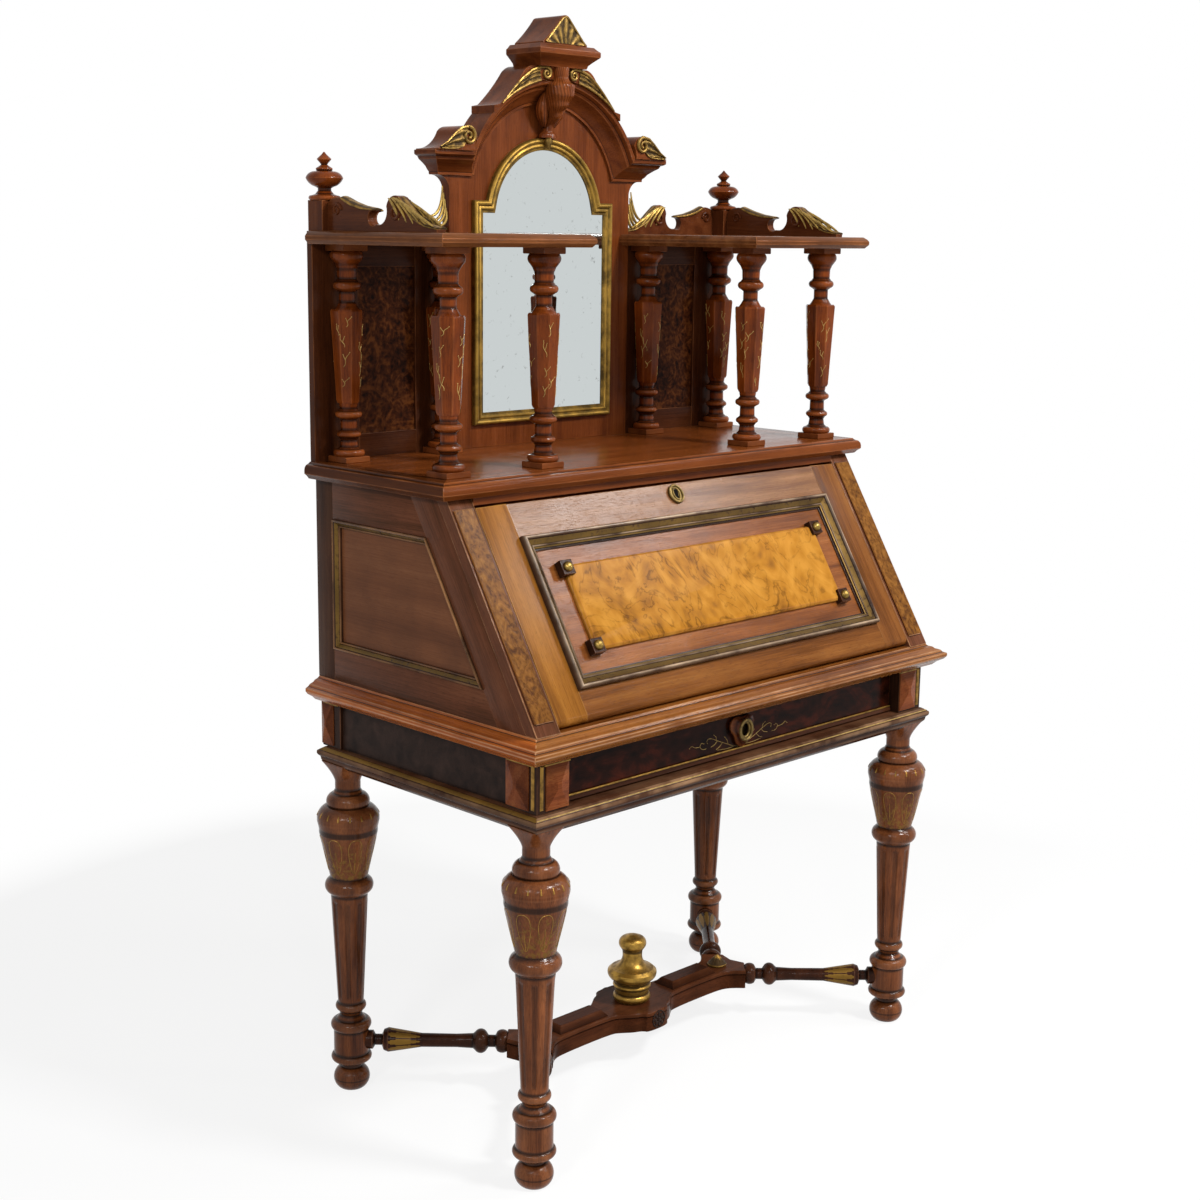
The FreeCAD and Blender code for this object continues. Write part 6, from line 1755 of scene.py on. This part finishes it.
    def rails(self) -> None:
        """Carve the pierced rails: volutes and fronds on their faces and gilt leaves down their slopes."""
        ease("gallery_rails", self.shaded.along(Grain.DEEP), 1.2)
        leaves, volutes, fronds = Shape(), [], []
        swell = [0.5 + 2.3 * sin(pi * (.1 + .09 * i)) for i in range(10)]
        for side, deep in ((-1, True), (-1, False), (1, True), (1, False)):
            def at(s: float, up: float) -> Vector:
                """Point on the middle of this rail's edge.

                Args:
                    s: share of its length.
                    up: share of its height.
                Returns:
                    The point in mm.
                """
                z = SHELF_TOP + up * self.rail_high
                if deep:
                    return Vector((side * self.post_x, from_back(42 + 280 * s), z))
                return Vector((side * (476 - 251 * s), BACK - 7.5, z))

            across = Vector((1.0, 0.0, 0.0)) if deep else Vector((0.0, 1.0, 0.0))
            half, faces = (9.3, (-1, 1)) if deep else (7.6, (-1,))
            for flutes, slope in self.slopes:
                draped_leaf(leaves, [at(*point) for point in slope], across, half, flutes)
            for sweep in self.sweeps if deep else self.sweeps + self.climbs:
                for face in faces:
                    path = []
                    for t in (i / 9 for i in range(10)):
                        spot = ((1 - t) ** 2 * a + 2 * t * (1 - t) * b + t * t * c for a, b, c in zip(*sweep))
                        path.append(at(*spot) + across * face * (half - 1.0 + 2.5 * sin(pi * t)))
                    fronds.append(Thread(path, swell))
            run = (at(1.0, 0.0) - at(0.0, 0.0)).normalized()
            for s, up, radius, way in ((.09, .6, 11.5, 1), (.63, .54, 12.0, -1)):
                for face in faces:
                    centre = at(s, up) + across * face * (9.2 if deep else 7.2)
                    volutes.append(Thread.volute(centre, run, UP * way, radius, 1.3, 3.1))
        install("gallery_leaves", leaves.mesh(), GILT)
        LINER.lay("gallery_fronds", fronds, FROND_GILT)
        LINER.lay("gallery_volutes", volutes, self.shaded)


@dataclass
class Hood:
    """Mirror in a gilt frame under an arched hood of scrolls, with a plumed keystone and a small pediment."""

    mirror_half: float = 173.0
    mirror_low: float = 1183.0
    shoulder: float = 1584.0
    arch_half: float = 140.0
    arch_top: float = 1698.0
    frame_back: float = 264.9
    front_y: float = 222.9
    ring_z: float = 1578.0
    ring: float = 221.3
    pediment_y: float = 208.9
    plume: Shares = (
        (1698, 20, 20, 44), (1704, 19, 20, 43), (1709, 11, 22, 40), (1717, 8, 24, 42), (1738, 11, 30, 62),
        (1756, 20, 34, 78), (1774, 27, 36, 89), (1788, 26, 38, 90), (1797, 15, 44, 82), (1802, 13, 46, 79),
        (1808, 14, 46, 80), (1820, 15, 46, 80))
    # inset, height, then gilt, wear with painted highlight, and soot with painted shade
    frame_profile: Shares = (
        (0, 0), (0, 6, 1, 0, .3), (.9, 8.6, 1, 0, 0), (2.8, 10.4, 1, 0, 0), (5.2, 11, 1, 0, 0),
        (7.6, 10, 1, 0, .1), (9.2, 7.8, 1, 0, .3), (10.2, 7.2, 1, 0, .35), (11.6, 8.4, 1, 0, .1),
        (13.6, 9, 1, 0, 0), (15.6, 8.4, 1, 0, 0), (17, 6.8, 1, 0, .2), (18, 5.8, 1, 0, .35),
        (20, 5.6, 1, 0, .3), (22, 5.2, 1, 0, .4), (22, 0))

    def outline(self) -> Line:
        """Outline of the mirror frame, seen from the front.

        Returns:
            Its corners, anticlockwise.
        """
        half, top = self.mirror_half, self.shoulder
        arch = arc((self.arch_half, top), (0.0, self.arch_top), (-self.arch_half, top), 48)
        return [(-half, self.mirror_low), (half, self.mirror_low), (half, top), (self.arch_half, top), *arch,
                (-half, top)]

    def build(self) -> None:
        """Make the mirror and its hood."""
        ease("centre_panel", RED.along(Grain.UPRIGHT), 0.9)
        around, gilded, glass = self.outline(), Shape(), Shape()
        gilded.moulding(around, self.frame_profile, lambda u, v, h: Vector((u, self.frame_back - h, v)),
                        joined=True)
        bright = replace(GILT, name="bright_oil_gilding", bright="#96742e", dull="#4a3815", patch_mm=24.0)
        install("mirror_frame_run", gilded.mesh(), bright, replaces=["mirror_frame"])
        glass.loft([[Vector((u, self.frame_back - h, v)) for u, v in inset(around, d)]
                    for d, h in ((18.5, 0.2), (18.5, 3.4), (21.0, 3.8))])
        install("mirror_glass_plate", glass.mesh(), MIRROR, replaces=["mirror_glass"], sharp=1.0)
        for node in ("hood_cornice", "hood_scrolls", "hood_cap", "pediment"):
            ease(node, RED, 0.9)
        self.leaves()
        self.keystone()

    def leaves(self) -> None:
        """Carve the gilt leaf scrolls beside the keystone, on the lower scrolls and on the pediment."""
        work, threads = Shape(), []
        crest = ((139.0, 1751.0), (127.0, 1763.7), (110.0, 1780.3), (91.0, 1797.2), (69.0, 1811.5),
                 (50.0, 1818.0), (34.0, 1819.0))
        above = self.ring_z + 1.2
        round_arch = [(float(u), above + sqrt(self.ring ** 2 - u ** 2)) for u in range(138, 46, -7)]
        count = len(round_arch)
        swell = [1.0 + 1.3 * sin(pi * (i + 1) / (count + 1)) + 0.25 * (i % 2) for i in range(count)]
        outer = ((281.0, 1671.5), (265.0, 1680.0), (247.0, 1695.0), (233.0, 1704.5), (219.0, 1707.0))
        inner = ((278.0, 1669.0), (260.0, 1669.0), (242.0, 1670.0), (230.0, 1674.0), (224.0, 1680.0))
        for side in (-1, 1):
            def on_front(u: float, v: float, h: float) -> Vector:
                """Point on the hood's front."""
                return Vector((side * u, self.front_y - h, v))

            run = Vector((side, 0.0, 0.0))
            carved_field(work, crest[:6], round_arch, on_front, 0.8, 3.0, 2.6)
            carved_field(work, outer, inner, on_front, 1.2, 2.5, 3.0)
            threads += [
                Thread([on_front(u, v, 1.8) for u, v in crest], [1.0, 1.5, 2.0, 2.4, 2.8, 3.0, 3.1]),
                Thread([on_front(u, v, 1.4) for u, v in round_arch], swell),
                Thread.volute(on_front(34.0, 1808.0, 2.2), run, UP, 11.0, 1.35, 3.3, pi / 2),
                Thread([on_front(u, v, 1.8) for u, v in outer], [1.0, 1.6, 2.2, 2.8, 3.2]),
                Thread.even([on_front(u, v, 1.2) for u, v in inner[:4]], 1.3),
                Thread.volute(on_front(217.0, 1691.5, 2.2), run, UP, 15.5, 1.45, 3.6, pi / 2)]

        def on_gable(u: float, v: float, h: float) -> Vector:
            """Point on the pediment's front."""
            return Vector((u, self.pediment_y - h, v))

        half = [(48.0, 1861.0), *arc((48.0, 1861.0), (31.0, 1879.0), (7.0, 1904.0), 10)]
        rise = [*half, (0.0, 1907.0), *((-u, v) for u, v in reversed(half))]
        carved_field(work, rise, ((26.0, 1860.5), (0.0, 1861.0), (-26.0, 1860.5)), on_gable, 6.0, 0.0, 2.0)
        threads.append(Thread.even([on_gable(u, v, 1.0) for u, v in rise], 2.0))
        install("hood_leaves", work.mesh(), HOOD_GILT)
        LINER.lay("hood_volutes", threads, HOOD_GILT)

    def keystone(self) -> None:
        """Carve the plume: a waisted foot, a striated bulb that leans forward, and a tail under the cap."""
        plume, rows, marks, sides, count = Shape(), [], [], 132, 48
        bottom, top = self.plume[0][0], self.plume[-1][0]
        for i in range(count + 1):
            z = bottom + (top - bottom) * i / count
            k = max(k for k in range(len(self.plume) - 1) if k == 0 or z > self.plume[k][0])
            low, high = self.plume[k], self.plume[k + 1]
            t = (z - low[0]) / (high[0] - low[0])
            _, half, rear, front = (p + (q - p) * t * t * (3 - 2 * t) for p, q in zip(low, high))
            feather = max(0.0, min(1.0, (z - 1716) / 12))
            row, mark = [], []
            for j, (c, s) in enumerate(circle(sides)):
                wave = cos(26 * tau * j / sides + (z - 1716) * 0.3)
                grow = 1.0 - 0.018 * feather * (1 - wave)
                y = from_back((front + rear) / 2 - (front - rear) / 2 * s * grow)
                row.append(Vector((half * c * grow, y, z)))
                # ridges are paled as wear and painted highlight, troughs darkened as soot and painted shade
                mark.append((0.0, 0.5 * feather * max(0.0, wave), 0.55 * feather * max(0.0, -wave)))
            rows.append(row)
            marks.append(mark)
        plume.loft(rows, marks)
        waves = [cos(11 * tau * j / 44) for j in range(44)]
        # the tail leaves' ridges are paled as wear and painted highlight, their troughs darkened as soot and
        # painted shade
        mark = [(0.0, 0.3 * max(0.0, wave), 0.7 * max(0.0, -wave)) for wave in waves]
        for side in (-1, 1):
            rows = []
            for t in (i / 24 for i in range(25)):
                swell = sin(pi * (0.06 + 0.9 * t)) ** 0.8
                centre = Vector((side * (7 + 15 * sin(pi * (0.1 + 0.6 * t))), 252 - 10 * t, 1716 + 62 * t))
                rows.append([centre + Vector((c * 11, s * 13, 0.0)) * swell * (0.97 + 0.03 * wave)
                             for wave, (c, s) in zip(waves, circle(44))])
            plume.loft(rows, [mark] * len(rows))
        finish = TURNED.stained("plume_walnut", "#4e230e", "#804019", "#9a552b")
        install("keystone_plume", plume.mesh(), finish, replaces=["keystone"], sharp=60.0)
        drop = Thread([Vector((0.0, from_back(32), z)) for z in (1702, 1698, 1692, 1686, 1680, 1677)],
                      [4.0, 7.5, 8.5, 6.5, 3.5, 1.0])
        LINER.lay("mirror_crest", [drop], HOOD_GILT, sides=14)


@dataclass
class Studio:
    """Plain pale floor, soft light and the camera that took the picture."""

    eye: tuple[float, float, float] = (-2378.2, -2287.9, 1535.5)
    yaw: float = 0.7828
    pitch: float = 0.1975
    roll: float = 0.0132
    lens: float = 55.55
    ambient: float = 0.25
    floor_half: float = 9.0

    def build(self) -> None:
        """Set up the floor, the lights and the camera."""
        self.world()
        self.floor()
        # the small lamps mostly draw bright lines and spots on polished work
        for name, place, size, power in (
                ("key_light", (0.9, -3.0, 4.3), 0.7, 184.0), ("fill_light", (-3.4, -1.4, 2.8), 0.45, 42.0),
                ("left_lamp", (-2.4, -3.0, 2.5), 0.3, 17.0), ("right_lamp", (2.4, -3.4, 2.2), 0.3, 15.0),
                ("side_light", (1.9, -1.45, 2.8), 0.7, 26.0)):
            lamp = bpy.data.lights.new(name, "AREA")
            lamp.size, lamp.energy = size, power
            light = bpy.data.objects.new(name, lamp)
            facing = (Vector((0.0, 0.0, 0.9)) - Vector(place)).to_track_quat("-Z", "Y")
            light.matrix_world = Matrix.Translation(place) @ facing.to_matrix().to_4x4()
            bpy.context.scene.collection.objects.link(light)
        self.camera()

    def world(self) -> None:
        """White surroundings for the eye and for reflections, and softer light for the rest."""
        world = bpy.data.worlds.new("studio_white")
        bpy.context.scene.world = world
        world.use_nodes = True
        tree = world.node_tree
        level = add(tree, "Mix", {0: self.seen(tree), 2: self.ambient, 3: 1.0})
        feed(tree, tree.nodes["Background"], {"Strength": level, "Color": linear("#ffffff")})

    def seen(self, tree: Tree) -> Socket:
        """Whether a ray comes from the camera, a reflection or glass.

        Args:
            tree: the node tree that asks.
        Returns:
            A socket that is 1 or 0.
        """
        path = add(tree, "LightPath").node.outputs
        first = add(tree, "Math MAXIMUM", {0: path["Is Camera Ray"], 1: path["Is Glossy Ray"]})
        return add(tree, "Math MAXIMUM", {0: first, 1: path["Is Transmission Ray"]})

    def floor(self) -> None:
        """Pale floor that keeps the shadow and fades into the white ground."""
        half = self.floor_half
        mesh = bpy.data.meshes.new("floor")
        corners = [(x, y, 0.0) for x, y in rectangle(-half, -half, half, half)]
        mesh.from_pydata(corners, [], [(0, 1, 2, 3)])
        floor = bpy.data.objects.new("floor", mesh)
        bpy.context.scene.collection.objects.link(floor)
        paint = bpy.data.materials.new("pale_floor")
        paint.use_nodes = True
        tree = paint.node_tree
        tree.nodes.clear()
        matt = add(tree, "BsdfDiffuse", {"Color": linear("#f6f6f5")})
        glow = add(tree, "Emission", {"Color": linear("#ffffff"), "Strength": 1.0})
        place = add(tree, "TexCoord").node.outputs["Object"]
        far = add(tree, "VectorMath LENGTH", {0: place})
        fade = add(tree, "MapRange", {0: far, 1: 0.75, 2: 1.9}, interpolation_type="SMOOTHSTEP")
        least = add(tree, "Math MAXIMUM", {0: fade, 1: 0.84})
        share = add(tree, "Math MULTIPLY", {0: least, 1: self.seen(tree)})
        mixed = add(tree, "MixShader", {0: share, 1: matt, 2: glow})
        add(tree, "OutputMaterial", {"Surface": mixed})
        mesh.materials.append(paint)

    def camera(self) -> None:
        """Stand the camera where the picture was taken."""
        lens = bpy.data.cameras.new("camera")
        lens.lens, lens.sensor_width, lens.clip_end = self.lens, 36.0, 50.0
        eye = bpy.data.objects.new("camera", lens)
        turn = Matrix.Rotation(-self.yaw, 4, "Z") @ Matrix.Rotation(pi / 2 - self.pitch, 4, "X")
        eye.matrix_world = shift(*self.eye) @ turn @ Matrix.Rotation(self.roll, 4, "Z")
        bpy.context.scene.collection.objects.link(eye)
        bpy.context.scene.camera = eye


def main() -> None:
    """Build every piece of the desk and its studio."""
    logging.basicConfig(level=logging.INFO, format="%(message)s")
    bpy.context.scene.view_settings.view_transform = "Standard"
    legs = Legs()
    legs.build()
    Stretcher().build(legs)
    for work in (Frieze(), Drawer(), DeskCase(), FallFront(), Gallery(), Hood(), Studio()):
        work.build()
    bpy.context.view_layer.update()


if __name__ == "__main__":
    main()
